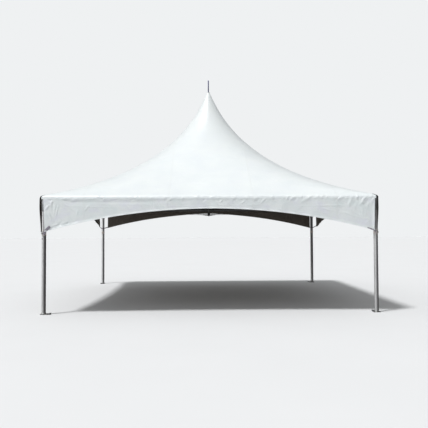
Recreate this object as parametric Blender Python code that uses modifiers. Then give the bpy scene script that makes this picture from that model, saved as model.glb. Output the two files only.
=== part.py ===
"""Frame marquee, 20 ft square, with one high peak on a mast that crossed cables carry.

Metres, +Z up. The origin is on the ground, under the mast, and the front is -Y.
"""
import math

import bmesh
import bpy
from mathutils import Matrix, Vector

# Plan and heights
BAY = 6.096                    # 20 ft between leg centres
HALF_BAY = BAY / 2
RAIL_Z = 2.12                  # axis of the eave rails
FABRIC_TOP_Z = 4.82            # crown of the fabric, at the mast
SPIKE_TOP_Z = 5.125
GAP = 0.0003                   # between solids that touch
SLIP = 0.0008                  # play of a tube in its socket
WELD = 0.00005                 # points closer than this are one
CUT_PAST = 0.010               # a cutter runs this far past what it cuts

# Frame tubes and their fittings
TUBE_R = 0.0381                # 3 in tube
TUBE_SIDES = 24
HOLE_SIDES = 16
SLEEVE_R = 0.04445             # 3.5 in sleeve
ARM_R = 0.0425                 # horizontal arms of a corner fitting
SOCKET_STOP = 0.050            # tubes end this far from the corner's centre
ARM_LENGTH = 0.25
POST_LENGTH = 0.24
JOINT_LENGTH = 0.36            # sleeve over the middle of a rail
JOINT_GAP = 0.001              # between the two tubes of a rail

# Feet: a plate that reaches further in than out, for its stake
PLATE_T = 0.012
PLATE_OUT = 0.055
PLATE_IN = 0.125
PLATE_HALF_WIDTH = 0.060
PLATE_CORNER_R = 0.012

# Mast, hub, crown and spike
MAST_R = 0.0254                # 2 in tube
HUB_BOTTOM_Z = 1.865
HUB_R = 0.035
HUB_DISC_T = 0.035
HUB_SOCKET_R = 0.031
HUB_SOCKET_H = 0.055
HUB_BEVEL = 0.004
CAP_R = 0.034
CAP_T = 0.008
SPIKE_R = 0.014
SPIKE_TIP_H = 0.030
SPIKE_SIDES = 16

# Cable runs, from the pin at the hub to the pin at the corner fitting
HUB_PIN_R = 0.062
HUB_PIN_Z = 1.885
CORNER_PIN_R = 0.095           # from the leg's axis
CORNER_PIN_Z = 2.085
LUG_T = 0.010
LUG_HALF_H = 0.014
LUG_NOSE = 0.016               # lug beyond its pin
LUG_ROOT = 0.050
LUG_HOLE_R = 0.0066
PIN_R = 0.006
PIN_PROUD = 0.004              # pin past each cheek of its fork
FORK_BACK = 0.014              # fork behind its pin
FORK_REACH = 0.045             # fork ahead of its pin
FORK_SLOT_REACH = 0.028
FORK_HALF_WIDTH = 0.015
FORK_HALF_H = 0.0135
FORK_PLAY = 0.0005
FORK_GRIP = 0.005              # rod inside the root of its fork
WIRE_R = 0.004
FERRULE_R = 0.009
FERRULE_LENGTH = 0.090
STUD_R = 0.007
BUCKLE_R = 0.017
BUCKLE_LENGTH = 0.260
BUCKLE_SETBACK = 0.160         # body's outer end to the corner pin
TAPER = 0.012                  # where one thickness runs into the next
CABLE_SIDES = 12

# Fabric
FABRIC_T = 0.004
EAVE_INNER_R = SLEEVE_R + 0.00055
EAVE_R = EAVE_INNER_R + FABRIC_T
EAVE_FACE = HALF_BAY + EAVE_R  # outer face of the fabric at the eave
EAVE_EDGE_Z = RAIL_Z - 0.010   # the top ends here, and the valances start
NECK_R = 0.0302                # fabric's outer radius at the crown
NECK_SHARE = 0.20
NECK_FALL = 8.0
SKIRT_FALL = 0.75
SQUARING = 1.7                 # how late the round crown turns square
EAVE_SLOPE = math.radians(25)
ROOF_RINGS = 14
EAVE_RINGS = 4
RING_SIDE_STEPS = 8

# Valances
ARCH_Z = 1.91                  # hem at the middle of a side
ARCH_FALL = 0.045              # hem drops by this times the distance squared
REAR_LIFT = 0.075              # rear hem above the front one
LEFT_LIFT_RUN = (0.3, 2.0)     # where the side hems rise to meet it, back from their middles
RIGHT_LIFT_RUN = (2.45, 2.95)
HEM_STEPS = 32
END_TOP_FRONT = 3.075          # valance ends at the two front corners
END_HEM_FRONT = 3.040
END_REAR = 2.950               # at the two rear corners a slit shows beside the leg

# Corner straps
STRAP_Z = 1.452
STRAP_H = 0.038
STRAP_T = 0.002

CORNERS = (
    ("front_left", 0),
    ("front_right", 90),
    ("rear_right", 180),
    ("rear_left", 270),
)
SIDES = (
    ("front", 0, "left", "right"),
    ("right", 90, "front", "rear"),
    ("rear", 180, "right", "left"),
    ("left", 270, "rear", "front"),
)


def clear_scene():
    """Remove every object, so that the script can be run again."""
    for thing in list(bpy.data.objects):
        bpy.data.objects.remove(thing, do_unlink=True)


def make_material(name, colour, roughness, metallic):
    """Return a Principled material with a linear colour."""
    material = bpy.data.materials.new(name)
    material.use_nodes = True
    shader = material.node_tree.nodes["Principled BSDF"]
    shader.inputs["Base Color"].default_value = (*colour, 1.0)
    shader.inputs["Roughness"].default_value = roughness
    shader.inputs["Metallic"].default_value = metallic
    material.diffuse_color = (*colour, 1.0)
    return material


def turn(degrees):
    """Return the rotation about the mast by some degrees."""
    return Matrix.Rotation(math.radians(degrees), 4, "Z")


class Kit:
    """The object's collection, its root and its materials."""

    def __init__(self):
        self.collection = bpy.data.collections.new("marquee_tent")
        bpy.context.scene.collection.children.link(self.collection)
        self.root = bpy.data.objects.new("marquee_tent", None)
        self.collection.objects.link(self.root)
        self.aluminium = make_material("aluminium_tube", (0.62, 0.63, 0.64), 0.35, 1.0)
        self.cast = make_material("cast_aluminium", (0.50, 0.51, 0.52), 0.50, 1.0)
        self.steel = make_material("painted_steel", (0.06, 0.06, 0.06), 0.55, 0.0)
        self.wire = make_material("galvanised_wire", (0.45, 0.45, 0.46), 0.45, 1.0)
        self.vinyl = make_material("white_vinyl", (0.84, 0.87, 0.87), 0.40, 0.0)
        self.plastic = make_material("white_plastic", (0.80, 0.82, 0.82), 0.45, 0.0)
        self.webbing = make_material("grey_webbing", (0.20, 0.19, 0.21), 0.85, 0.0)
        self.spike = make_material("anodised_spike", (0.23, 0.24, 0.36), 0.40, 0.6)

    def place(self, name, data, material, matrix):
        """Add an object with this mesh or curve, and place it under the root."""
        thing = bpy.data.objects.new(name, data)
        self.collection.objects.link(thing)
        if not data.materials:
            data.materials.append(material)
        thing.matrix_world = matrix
        thing.parent = self.root
        return thing


def to_mesh(name, shape, angle=40):
    """Turn a bmesh into a mesh, smooth apart from its edges past the angle."""
    bmesh.ops.recalc_face_normals(shape, faces=shape.faces)
    mesh = bpy.data.meshes.new(name)
    shape.to_mesh(mesh)
    shape.free()
    mesh.shade_smooth()
    mesh.set_sharp_from_angle(angle=math.radians(angle))
    return mesh


def rod_mesh(name, radius, start, end, sides=TUBE_SIDES):
    """Return a solid round bar between two points."""
    start = Vector(start)
    end = Vector(end)
    along = end - start
    shape = bmesh.new()
    bmesh.ops.create_cone(
        shape, cap_ends=True, segments=sides, radius1=radius, radius2=radius, depth=along.length,
        matrix=Matrix.Translation((start + end) / 2) @ along.to_track_quat("Z", "Y").to_matrix().to_4x4(),
    )
    return to_mesh(name, shape)


def block_mesh(name, low, high):
    """Return a box between its lowest and highest corners."""
    low = Vector(low)
    high = Vector(high)
    shape = bmesh.new()
    bmesh.ops.create_cube(
        shape, size=1.0, matrix=Matrix.Translation((low + high) / 2) @ Matrix.Diagonal((*(high - low), 1.0)),
    )
    return to_mesh(name, shape)


def turned_mesh(name, profile, axis="Z", sides=TUBE_SIDES, closed=False):
    """Turn a profile of (radius, place on the axis) points into a solid with a Screw modifier."""
    outline = bpy.data.meshes.new(name + "_profile")
    if axis == "Z":
        points = [(radius, 0.0, along) for radius, along in profile]
    else:
        points = [(along, radius, 0.0) for radius, along in profile]
    edges = [(i, i + 1) for i in range(len(points) - 1)]
    if closed:
        edges.append((len(points) - 1, 0))
    outline.from_pydata(points, edges, [])
    return bake(name, outline, lambda thing: add_screw(thing, axis, sides))


def add_screw(thing, axis, sides):
    """Add one full turn about the axis."""
    screw = thing.modifiers.new("Turn", "SCREW")
    screw.axis = axis
    screw.steps = sides
    screw.render_steps = sides
    screw.use_merge_vertices = True
    screw.merge_threshold = WELD


def bake(name, mesh, add_modifiers):
    """Return the mesh that the modifiers make of this one, with its faces pointing out."""
    scratch = bpy.data.objects.new(name + "_scratch", mesh)
    bpy.context.scene.collection.objects.link(scratch)
    add_modifiers(scratch)
    bpy.context.view_layer.update()
    evaluated = scratch.evaluated_get(bpy.context.evaluated_depsgraph_get())
    result = bpy.data.meshes.new_from_object(evaluated)
    bpy.data.objects.remove(scratch, do_unlink=True)
    shape = bmesh.new()
    shape.from_mesh(result)
    bpy.data.meshes.remove(result)
    bmesh.ops.remove_doubles(shape, verts=shape.verts, dist=WELD)
    bmesh.ops.dissolve_degenerate(shape, edges=shape.edges, dist=WELD)
    return to_mesh(name, shape)


def combine(name, base, *steps):
    """Join meshes to the base, or cut them from it, in order: steps are (operation, mesh)."""
    cutters = []

    def add_booleans(scratch):
        for operation, mesh in steps:
            cutter = bpy.data.objects.new(name + "_cutter", mesh)
            bpy.context.scene.collection.objects.link(cutter)
            cutters.append(cutter)
            boolean = scratch.modifiers.new(operation.title(), "BOOLEAN")
            boolean.operation = operation
            boolean.solver = "EXACT"
            boolean.object = cutter

    result = bake(name, base, add_booleans)
    for cutter in cutters:
        bpy.data.objects.remove(cutter, do_unlink=True)
    return result


def add_feet(kit):
    """Base plates, round-cornered, each turned a quarter from the last."""
    shape = bmesh.new()
    size = (PLATE_OUT + PLATE_IN, 2 * PLATE_HALF_WIDTH, PLATE_T)
    middle = ((PLATE_IN - PLATE_OUT) / 2, 0.0, PLATE_T / 2)
    bmesh.ops.create_cube(shape, size=1.0, matrix=Matrix.Translation(middle) @ Matrix.Diagonal((*size, 1.0)))
    upright = [edge for edge in shape.edges if abs(edge.verts[0].co.z - edge.verts[1].co.z) > PLATE_T / 2]
    bmesh.ops.bevel(shape, geom=upright, offset=PLATE_CORNER_R, segments=4, profile=0.5, affect="EDGES")
    plate = to_mesh("base_plate", shape)
    for corner, angle in CORNERS:
        kit.place("base_plate_" + corner, plate, kit.steel, at_corner(angle))


def at_corner(angle, z=0.0):
    """Return the place of a corner: its local +X and +Y run along the two sides that meet there."""
    return turn(angle) @ Matrix.Translation((-HALF_BAY, -HALF_BAY, z))


def add_legs(kit):
    """Legs, from their plates up into the corner fittings."""
    leg = rod_mesh("leg", TUBE_R, (0, 0, PLATE_T + GAP), (0, 0, RAIL_Z - SOCKET_STOP - GAP))
    for corner, angle in CORNERS:
        kit.place("leg_" + corner, leg, kit.aluminium, at_corner(angle))


def corner_fitting_mesh():
    """A domed post socket, two rail sockets and the cable's lug, centred where the axes meet."""
    dome = [
        (SLEEVE_R * math.sin(math.radians(step)), SLEEVE_R * math.cos(math.radians(step)))
        for step in range(0, 91, 15)
    ]
    post = turned_mesh("post", [*dome, (SLEEVE_R, -POST_LENGTH), (0.0, -POST_LENGTH)])
    bore_r = TUBE_R + SLIP
    arm_x = rod_mesh("arm_x", ARM_R, (0, 0, 0), (ARM_LENGTH, 0, 0))
    arm_y = rod_mesh("arm_y", ARM_R, (0, 0, 0), (0, ARM_LENGTH, 0))
    arm_y.transform(Matrix.Rotation(math.pi / TUBE_SIDES, 4, "Y"))
    lug = lug_mesh("corner_lug")
    lug.transform(cable_in_corner() @ Matrix.Rotation(math.pi, 4, "Z"))
    hole = rod_mesh("corner_hole", LUG_HOLE_R, (0, -LUG_T, 0), (0, LUG_T, 0), sides=HOLE_SIDES)
    hole.transform(cable_in_corner())
    return combine(
        "corner_fitting", post,
        ("UNION", arm_x),
        ("UNION", arm_y),
        ("UNION", lug),
        ("DIFFERENCE", rod_mesh("bore_x", bore_r, (SOCKET_STOP, 0, 0), (ARM_LENGTH + CUT_PAST, 0, 0))),
        ("DIFFERENCE", rod_mesh("bore_y", bore_r, (0, SOCKET_STOP, 0), (0, ARM_LENGTH + CUT_PAST, 0))),
        ("DIFFERENCE", rod_mesh("bore_z", bore_r, (0, 0, -SOCKET_STOP), (0, 0, -POST_LENGTH - CUT_PAST))),
        ("DIFFERENCE", hole),
    )


def cable_slope():
    """Return the length of a cable run, pin to pin, and its rise as an angle."""
    run = math.hypot(HALF_BAY, HALF_BAY) - CORNER_PIN_R - HUB_PIN_R
    rise = CORNER_PIN_Z - HUB_PIN_Z
    return math.hypot(run, rise), math.atan2(rise, run)


def cable_frame(angle):
    """Return a run's frame: origin at the hub's pin, +X along the cable to the corner's pin."""
    tilt = cable_slope()[1]
    return turn(angle + 225) @ Matrix.Translation((HUB_PIN_R, 0, HUB_PIN_Z)) @ Matrix.Rotation(-tilt, 4, "Y")


def cable_in_corner():
    """Return the frame of the corner's pin, seen from the corner fitting's own centre."""
    length = cable_slope()[0]
    return at_corner(0, RAIL_Z).inverted() @ cable_frame(0) @ Matrix.Translation((length, 0, 0))


def lug_mesh(name):
    """A plate that reaches back from its pin into what carries it, pin at the origin."""
    return block_mesh(name, (-LUG_ROOT, -LUG_T / 2, -LUG_HALF_H), (LUG_NOSE, LUG_T / 2, LUG_HALF_H))


def add_corner_fittings(kit):
    """Corner fittings, over the legs and rails."""
    fitting = corner_fitting_mesh()
    for corner, angle in CORNERS:
        kit.place("corner_fitting_" + corner, fitting, kit.cast, at_corner(angle, RAIL_Z))


def add_rails(kit):
    """Two tubes a side, and the sleeve that joins them."""
    near = HALF_BAY - SOCKET_STOP - GAP
    first = rod_mesh("rail_first", TUBE_R, (-near, 0, 0), (-JOINT_GAP / 2, 0, 0))
    second = rod_mesh("rail_second", TUBE_R, (JOINT_GAP / 2, 0, 0), (near, 0, 0))
    half = JOINT_LENGTH / 2
    bore_r = TUBE_R + SLIP
    sleeve = turned_mesh(
        "rail_sleeve", [(bore_r, -half), (SLEEVE_R, -half), (SLEEVE_R, half), (bore_r, half)],
        axis="X", closed=True,
    )
    for side, angle, first_end, second_end in SIDES:
        matrix = turn(angle) @ Matrix.Translation((0, -HALF_BAY, RAIL_Z))
        kit.place(f"eave_rail_{side}_{first_end}", first, kit.aluminium, matrix)
        kit.place(f"eave_rail_{side}_{second_end}", second, kit.aluminium, matrix)
        kit.place(f"rail_joint_{side}", sleeve, kit.cast, matrix)


def add_mast(kit):
    """The hub that the cables carry, the mast in it, and the crown's cap and spike."""
    socket_floor = HUB_BOTTOM_Z + HUB_DISC_T
    socket_top = socket_floor + HUB_SOCKET_H
    hub = turned_mesh("hub_body", [
        (0.0, socket_floor),
        (MAST_R + SLIP, socket_floor),
        (MAST_R + SLIP, socket_top),
        (HUB_SOCKET_R, socket_top),
        (HUB_SOCKET_R, socket_floor),
        (HUB_R, socket_floor - HUB_BEVEL),
        (HUB_R, HUB_BOTTOM_Z + HUB_BEVEL),
        (HUB_R - HUB_BEVEL, HUB_BOTTOM_Z),
        (0.0, HUB_BOTTOM_Z),
    ])
    steps = []
    for _, angle in CORNERS:
        lug = lug_mesh("hub_lug")
        lug.transform(cable_frame(angle))
        steps.append(("UNION", lug))
    for _, angle in CORNERS:
        hole = rod_mesh("hub_hole", LUG_HOLE_R, (0, -LUG_T, 0), (0, LUG_T, 0), sides=HOLE_SIDES)
        hole.transform(cable_frame(angle))
        steps.append(("DIFFERENCE", hole))
    socket = rod_mesh("hub_socket", MAST_R + SLIP, (0, 0, socket_floor), (0, 0, socket_top + CUT_PAST))
    steps.append(("DIFFERENCE", socket))
    kit.place("mast_hub", combine("mast_hub", hub, *steps), kit.cast, Matrix())
    mast = rod_mesh("mast", MAST_R, (0, 0, socket_floor + GAP), (0, 0, FABRIC_TOP_Z))
    kit.place("mast", mast, kit.aluminium, Matrix())
    cap_z = FABRIC_TOP_Z + GAP
    edge = CAP_T / 2
    cap = turned_mesh("crown_cap", [
        (0.0, cap_z + CAP_T),
        (CAP_R - edge, cap_z + CAP_T),
        (CAP_R, cap_z + edge),
        (CAP_R, cap_z),
        (0.0, cap_z),
    ])
    kit.place("crown_cap", cap, kit.plastic, Matrix())
    spike_z = cap_z + CAP_T + GAP
    spike = turned_mesh("peak_spike", [
        (0.0, SPIKE_TOP_Z),
        (SPIKE_R / 2, SPIKE_TOP_Z - SPIKE_TIP_H / 4),
        (SPIKE_R, SPIKE_TOP_Z - SPIKE_TIP_H),
        (SPIKE_R, spike_z),
        (0.0, spike_z),
    ], sides=SPIKE_SIDES)
    kit.place("peak_spike", spike, kit.spike, Matrix())


def fork_steps(sign, pin_x):
    """Return the steps that add a fork and its pin: sign is +1 where the cable runs on to +X."""
    def span(name, back, ahead, half_width, half_height):
        ends = sorted((pin_x + sign * back, pin_x + sign * ahead))
        return block_mesh(name, (ends[0], -half_width, -half_height), (ends[1], half_width, half_height))

    slot_half = LUG_T / 2 + FORK_PLAY
    slot_back = -FORK_BACK - CUT_PAST
    pin_end = FORK_HALF_WIDTH + PIN_PROUD
    return (
        ("UNION", span("fork", -FORK_BACK, FORK_REACH, FORK_HALF_WIDTH, FORK_HALF_H)),
        ("DIFFERENCE", span("slot", slot_back, FORK_SLOT_REACH, slot_half, FORK_HALF_H + CUT_PAST)),
        ("UNION", rod_mesh("pin", PIN_R, (pin_x, -pin_end, 0), (pin_x, pin_end, 0), sides=CABLE_SIDES)),
    )


def add_cables(kit):
    """Cross cables with a fork at the hub, and turnbuckles with a fork at the corner."""
    length = cable_slope()[0]
    buckle_out = length - BUCKLE_SETBACK
    buckle_in = buckle_out - BUCKLE_LENGTH
    root = FORK_REACH - FORK_GRIP
    stud_start = buckle_in - 2 * FERRULE_LENGTH
    cable = turned_mesh("cable_body", [
        (0.0, root),
        (FERRULE_R, root),
        (FERRULE_R, root + FERRULE_LENGTH),
        (WIRE_R, root + FERRULE_LENGTH + TAPER),
        (WIRE_R, stud_start - TAPER),
        (FERRULE_R, stud_start),
        (FERRULE_R, stud_start + FERRULE_LENGTH),
        (STUD_R, stud_start + FERRULE_LENGTH + TAPER),
        (STUD_R, buckle_in - GAP),
        (0.0, buckle_in - GAP),
    ], axis="X", sides=CABLE_SIDES)
    cable = combine("cross_cable", cable, *fork_steps(1, 0.0))
    buckle = turned_mesh("buckle_body", [
        (0.0, buckle_in),
        (BUCKLE_R - TAPER / 2, buckle_in),
        (BUCKLE_R, buckle_in + TAPER),
        (BUCKLE_R, buckle_out - TAPER),
        (BUCKLE_R - TAPER / 2, buckle_out),
        (STUD_R, buckle_out),
        (STUD_R, length - root),
        (0.0, length - root),
    ], axis="X", sides=CABLE_SIDES)
    buckle = combine("turnbuckle", buckle, *fork_steps(-1, length))
    for corner, angle in CORNERS:
        kit.place("cross_cable_" + corner, cable, kit.wire, cable_frame(angle))
        kit.place("turnbuckle_" + corner, buckle, kit.wire, cable_frame(angle))


def fall(amount, along):
    """An exponential fall from 1 to 0 as along goes from 0 to 1, steeper for a larger amount."""
    end = math.exp(-amount)
    return (math.exp(-amount * along) - end) / (1 - end)


def roof_ring(half_width, inverse_power, z):
    """A ring of points at one height, between a circle and a square.

    Each point of the unit square's edge is drawn in until its power norm is half_width: an inverse
    power of 1/2 gives a circle, and 0 gives the square.
    """
    side = []
    for step in range(RING_SIDE_STEPS):
        place = 2 * step / RING_SIDE_STEPS - 1
        across = (place + math.sin(place * math.pi / 2)) / 2
        scale = half_width
        if inverse_power > 0:
            scale = half_width / (1 + abs(across) ** (1 / inverse_power)) ** inverse_power
        side.append(Vector((scale * across, -scale, z)))
    return [turn(angle) @ point for _, angle, _, _ in SIDES for point in side]


def roof_rings():
    """Rings from the crown down the sagging slope and round the eave rails."""
    eave_top = HALF_BAY + EAVE_R * math.sin(EAVE_SLOPE)
    eave_top_z = RAIL_Z + EAVE_R * math.cos(EAVE_SLOPE)
    rings = []
    for step in range(ROOF_RINGS + 1):
        along = (step / ROOF_RINGS) ** 1.5
        share = NECK_SHARE * fall(NECK_FALL, along) + (1 - NECK_SHARE) * fall(SKIRT_FALL, along)
        z = eave_top_z + (FABRIC_TOP_Z - eave_top_z) * share
        half_width = NECK_R + (eave_top - NECK_R) * along
        rings.append(roof_ring(half_width, (1 - along ** SQUARING) / 2, z))
    for step in range(1, EAVE_RINGS + 1):
        angle = EAVE_SLOPE + (math.pi / 2 - EAVE_SLOPE) * step / EAVE_RINGS
        rings.append(roof_ring(HALF_BAY + EAVE_R * math.sin(angle), 0.0, RAIL_Z + EAVE_R * math.cos(angle)))
    rings.append(roof_ring(EAVE_FACE, 0.0, EAVE_EDGE_Z))
    return rings


def add_roof(kit):
    """The fabric top: a loft from a round crown to a square eave, thickened inwards."""
    shape = bmesh.new()
    rings = [[shape.verts.new(point) for point in ring] for ring in roof_rings()]
    count = len(rings[0])
    for upper, lower in zip(rings, rings[1:]):
        for i in range(count):
            j = (i + 1) % count
            shape.faces.new((upper[i], lower[i], lower[j], upper[j]))
    roof = kit.place("canopy_roof", to_mesh("canopy_roof", shape), kit.vinyl, Matrix())
    shell = roof.modifiers.new("Fabric", "SOLIDIFY")
    shell.thickness = FABRIC_T
    shell.offset = -1.0
    shell.use_even_offset = True


def hem_height(side, x):
    """The hem's height at a place along a side, an arch that rises towards the rear of the tent."""
    arch = ARCH_Z - ARCH_FALL * x * x
    if side == "rear":
        return arch + REAR_LIFT
    if side == "left":
        return arch + REAR_LIFT * ease(-x, *LEFT_LIFT_RUN)
    if side == "right":
        return arch + REAR_LIFT * ease(x, *RIGHT_LIFT_RUN)
    return arch


def ease(value, low, high):
    """Rise from 0 to 1 between low and high, level at both ends."""
    share = min(max((value - low) / (high - low), 0.0), 1.0)
    return share * share * (3 - 2 * share)


def valance_curve(name, side, first_corner, second_corner):
    """A flat outline in X and Y between two named corners: straight at the eave, arched at the hem."""
    ends = []
    for corner in (first_corner, second_corner):
        if corner.startswith("front"):
            ends.append((END_TOP_FRONT, END_HEM_FRONT))
        else:
            ends.append((END_REAR, END_REAR))
    top = EAVE_EDGE_Z - GAP
    points = [(-ends[0][0], top)]
    low = -ends[0][1]
    high = ends[1][1]
    for step in range(HEM_STEPS + 1):
        x = low + (high - low) * step / HEM_STEPS
        points.append((x, hem_height(side, x)))
    points.append((ends[1][0], top))
    curve = bpy.data.curves.new(name, "CURVE")
    curve.dimensions = "2D"
    curve.fill_mode = "BOTH"
    curve.extrude = FABRIC_T / 2
    spline = curve.splines.new("POLY")
    spline.points.add(len(points) - 1)
    for point, (x, y) in zip(spline.points, points):
        point.co = (x, y, 0.0, 1.0)
    spline.use_cyclic_u = True
    return curve


def add_valances(kit):
    """One hanging strip of fabric under each side of the eave."""
    upright = Matrix.Rotation(math.pi / 2, 4, "X")
    next_corners = CORNERS[1:] + CORNERS[:1]
    for (side, angle, _, _), (first, _), (second, _) in zip(SIDES, CORNERS, next_corners):
        name = "valance_" + side
        curve = valance_curve(name, side, first, second)
        matrix = turn(angle) @ Matrix.Translation((0, -EAVE_FACE + FABRIC_T / 2, 0)) @ upright
        kit.place(name, curve, kit.vinyl, matrix)


def add_straps(kit):
    """Webbing bands that tie the valances' corners to the legs."""
    inner = TUBE_R + GAP
    outer = inner + STRAP_T
    top = STRAP_Z + STRAP_H
    band = turned_mesh(
        "corner_strap", [(inner, top), (outer, top), (outer, STRAP_Z), (inner, STRAP_Z)], closed=True,
    )
    for corner, angle in CORNERS:
        kit.place("corner_strap_" + corner, band, kit.webbing, at_corner(angle))


def main():
    clear_scene()
    kit = Kit()
    add_feet(kit)
    add_legs(kit)
    add_corner_fittings(kit)
    add_rails(kit)
    add_mast(kit)
    add_cables(kit)
    add_roof(kit)
    add_valances(kit)
    add_straps(kit)


main()
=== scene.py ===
"""Looks for a frame marquee, 20 ft square: vinyl top and valances on an aluminium tube frame.

Metres, +Z up, and the front is -Y. Each new piece is a surface worked out with numpy, as a grid of two
parameters or a ring of points carried along a line, and takes its place and sizes from the solids.
"""
import math
from functools import partial

import bmesh
import bpy
import numpy as np
from mathutils import Matrix, Vector


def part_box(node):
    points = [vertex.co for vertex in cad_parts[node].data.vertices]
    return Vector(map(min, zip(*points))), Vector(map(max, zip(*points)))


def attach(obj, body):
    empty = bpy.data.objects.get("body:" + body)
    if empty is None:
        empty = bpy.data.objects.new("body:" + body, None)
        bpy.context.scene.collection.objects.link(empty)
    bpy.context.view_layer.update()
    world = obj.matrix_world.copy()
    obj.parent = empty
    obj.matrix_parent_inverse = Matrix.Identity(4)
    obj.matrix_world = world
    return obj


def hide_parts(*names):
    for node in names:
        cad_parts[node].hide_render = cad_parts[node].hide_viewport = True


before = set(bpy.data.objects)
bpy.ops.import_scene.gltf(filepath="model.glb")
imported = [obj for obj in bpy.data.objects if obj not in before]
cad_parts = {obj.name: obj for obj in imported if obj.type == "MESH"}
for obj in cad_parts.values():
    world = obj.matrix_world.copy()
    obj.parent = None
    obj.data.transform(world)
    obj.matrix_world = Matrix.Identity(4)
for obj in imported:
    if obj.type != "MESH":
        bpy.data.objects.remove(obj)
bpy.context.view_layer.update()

bl_info = {
    "name": "Frame Marquee",
    "version": (1, 0, 0),
    "blender": (4, 5, 0),
    "location": "3D View > Sidebar > Marquee",
    "description": "Vinyl top, valances, tube frame and cross cables of a 20 ft frame marquee",
    "category": "Object",
}

BODY = "root"

# Places that the solids give
LEG_LOW, LEG_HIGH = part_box("leg_front_left")
RAIL_LOW, RAIL_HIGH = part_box("eave_rail_front_left")
JOINT_LOW, JOINT_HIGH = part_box("rail_joint_front")
MAST_LOW, MAST_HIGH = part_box("mast")
HUB_LOW, HUB_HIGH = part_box("mast_hub")
CAP_LOW, CAP_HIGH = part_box("crown_cap")
SPIKE_LOW, SPIKE_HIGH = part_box("peak_spike")
PLATE_LOW, PLATE_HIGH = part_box("base_plate_front_left")
STRAP_LOW, STRAP_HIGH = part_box("corner_strap_front_left")
ROOF_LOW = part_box("canopy_roof")[0]
FITTING_LOW, FITTING_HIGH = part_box("corner_fitting_front_left")

HALF_BAY = -(LEG_LOW.x + LEG_HIGH.x) / 2
TUBE_R = (LEG_HIGH.x - LEG_LOW.x) / 2
RAIL_Z = (RAIL_LOW.z + RAIL_HIGH.z) / 2
SLEEVE_R = (JOINT_HIGH.z - JOINT_LOW.z) / 2
MAST_R = (MAST_HIGH.x - MAST_LOW.x) / 2
EAVE_FACE = -ROOF_LOW.y
EAVE_R = EAVE_FACE - HALF_BAY
EAVE_EDGE_Z = ROOF_LOW.z
# The top ends just inside the cap's rim
NECK_R = CAP_HIGH.x - 0.0038

# The corners and the turn about Z that carries the first one there
CORNERS = (("front_left", 0), ("front_right", 90), ("rear_right", 180), ("rear_left", 270))
# The sides, their turn, and their first and second ends: left and right as seen from outside
SIDES = (
    ("front", 0, "left", "right"),
    ("right", 90, "front", "rear"),
    ("rear", 180, "right", "left"),
    ("left", 270, "rear", "front"),
)

# How finely round things are drawn
TUBE_SIDES = 48
SMALL_SIDES = 24
BEAD_STEPS = 120


def linear(text):
    """Turn a hex sRGB colour into linear red, green and blue."""
    srgb = np.array([int(text[i:i + 2], 16) for i in (1, 3, 5)]) / 255
    return np.where(srgb <= 0.04045, srgb / 12.92, ((srgb + 0.055) / 1.055) ** 2.4).tolist()


def colour(name, text, description):
    """A colour setting whose default is a hex sRGB colour."""
    return bpy.props.FloatVectorProperty(
        name=name, description=description, subtype="COLOR", size=3, min=0.0, max=1.0, default=linear(text),
    )


def length(name, default, description):
    """A length setting in metres."""
    return bpy.props.FloatProperty(
        name=name, description=description, subtype="DISTANCE", unit="LENGTH", min=0.0, default=default,
    )


def strength(name, default, description):
    """A strength of light."""
    return bpy.props.FloatProperty(name=name, description=description, min=0.0, default=default)


class MarqueeFabric(bpy.types.PropertyGroup):
    """The top, the valances and the webbing."""

    outer: colour("Vinyl", "#f0f5f5", "Outer face of the coated fabric")
    shade: colour("Vinyl, shaded", "#eaf0f2", "Where the coating is thinner or handled")
    # The dark inner face is painted shade, the shade under the top and inside the valances
    lining: colour("Lining", "#5c544b", "Dark inner face of the blockout fabric")
    webbing: colour("Webbing", "#847f8a", "Straps sewn to the corners of the valances")
    pale_webbing: colour("Pale webbing", "#c4bbb4", "Bands round the legs")
    thickness: length("Fabric thickness", 0.0012, "Coated fabric, drawn about twice as thick as it is")
    crease_height: length("Crease height", 0.0075, "Tallest slanted crease along the eave")
    hem_width: length("Hem width", 0.030, "Folded hem along a valance's arch")
    crease_seed: bpy.props.IntProperty(name="Crease seed", description="Where the creases fall", default=11)


class MarqueeFrame(bpy.types.PropertyGroup):
    """The metal of the frame."""

    tube: colour("Tube", "#c9cacb", "Mill-finish extruded aluminium")
    cast: colour("Fittings", "#a9abad", "Cast aluminium corner fittings and sleeves")
    plate: colour("Base plates", "#45474a", "Painted steel of the feet")
    wire: colour("Cables", "#b5aeab", "Zinc on the strands of the cross cables")
    zinc: colour("Bolts", "#b9bbb8", "Zinc plate on bolts, pins and turnbuckles")
    spike: colour("Peak spike", "#77799a", "Tinted anodising on the spike")
    plastic: colour("Crown cap", "#e9edee", "Moulded white plastic")
    rope_lay: length("Lay of the rope", 0.056, "One full twist of a strand round the cable")


class MarqueeStudio(bpy.types.PropertyGroup):
    """Camera, floor and lights."""

    floor: colour("Floor", "#e2e3e4", "Plain pale floor")
    backdrop: colour("Backdrop", "#eff1f2", "Plain pale backdrop")
    key_strength: strength("Key", 2.4, "Strength of the key light")
    fill_strength: strength("Fill", 1.0, "Strength of the fill")
    gleam_strength: strength("Gleam", 2.7, "Strength of the low light that gives gleams")
    key_softness: bpy.props.FloatProperty(
        name="Key softness", description="Width of the key light as it is seen", subtype="ANGLE",
        default=math.radians(9),
    )
    camera_distance: length("Camera distance", 13.361, "From the mast to the camera, along Y")
    camera_height: length("Camera height", 1.4935, "Above the floor")


def spin(axis, degrees):
    """The turn about X, Y or Z."""
    return np.array(Matrix.Rotation(math.radians(degrees), 4, axis))


def shift(x=0.0, y=0.0, z=0.0):
    """The move along X, Y and Z."""
    return np.array(Matrix.Translation((x, y, z)))


def placed(points, *moves):
    """Carry points through moves, of which the last one listed comes first."""
    for move in reversed(moves):
        points = points @ move[:3, :3].T + move[:3, 3]
    return points


def at_corner(angle, z=0.0):
    """A corner's place: its local +X and +Y run along the two sides that meet there."""
    return spin("Z", angle) @ shift(-HALF_BAY, -HALF_BAY, z)


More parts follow.
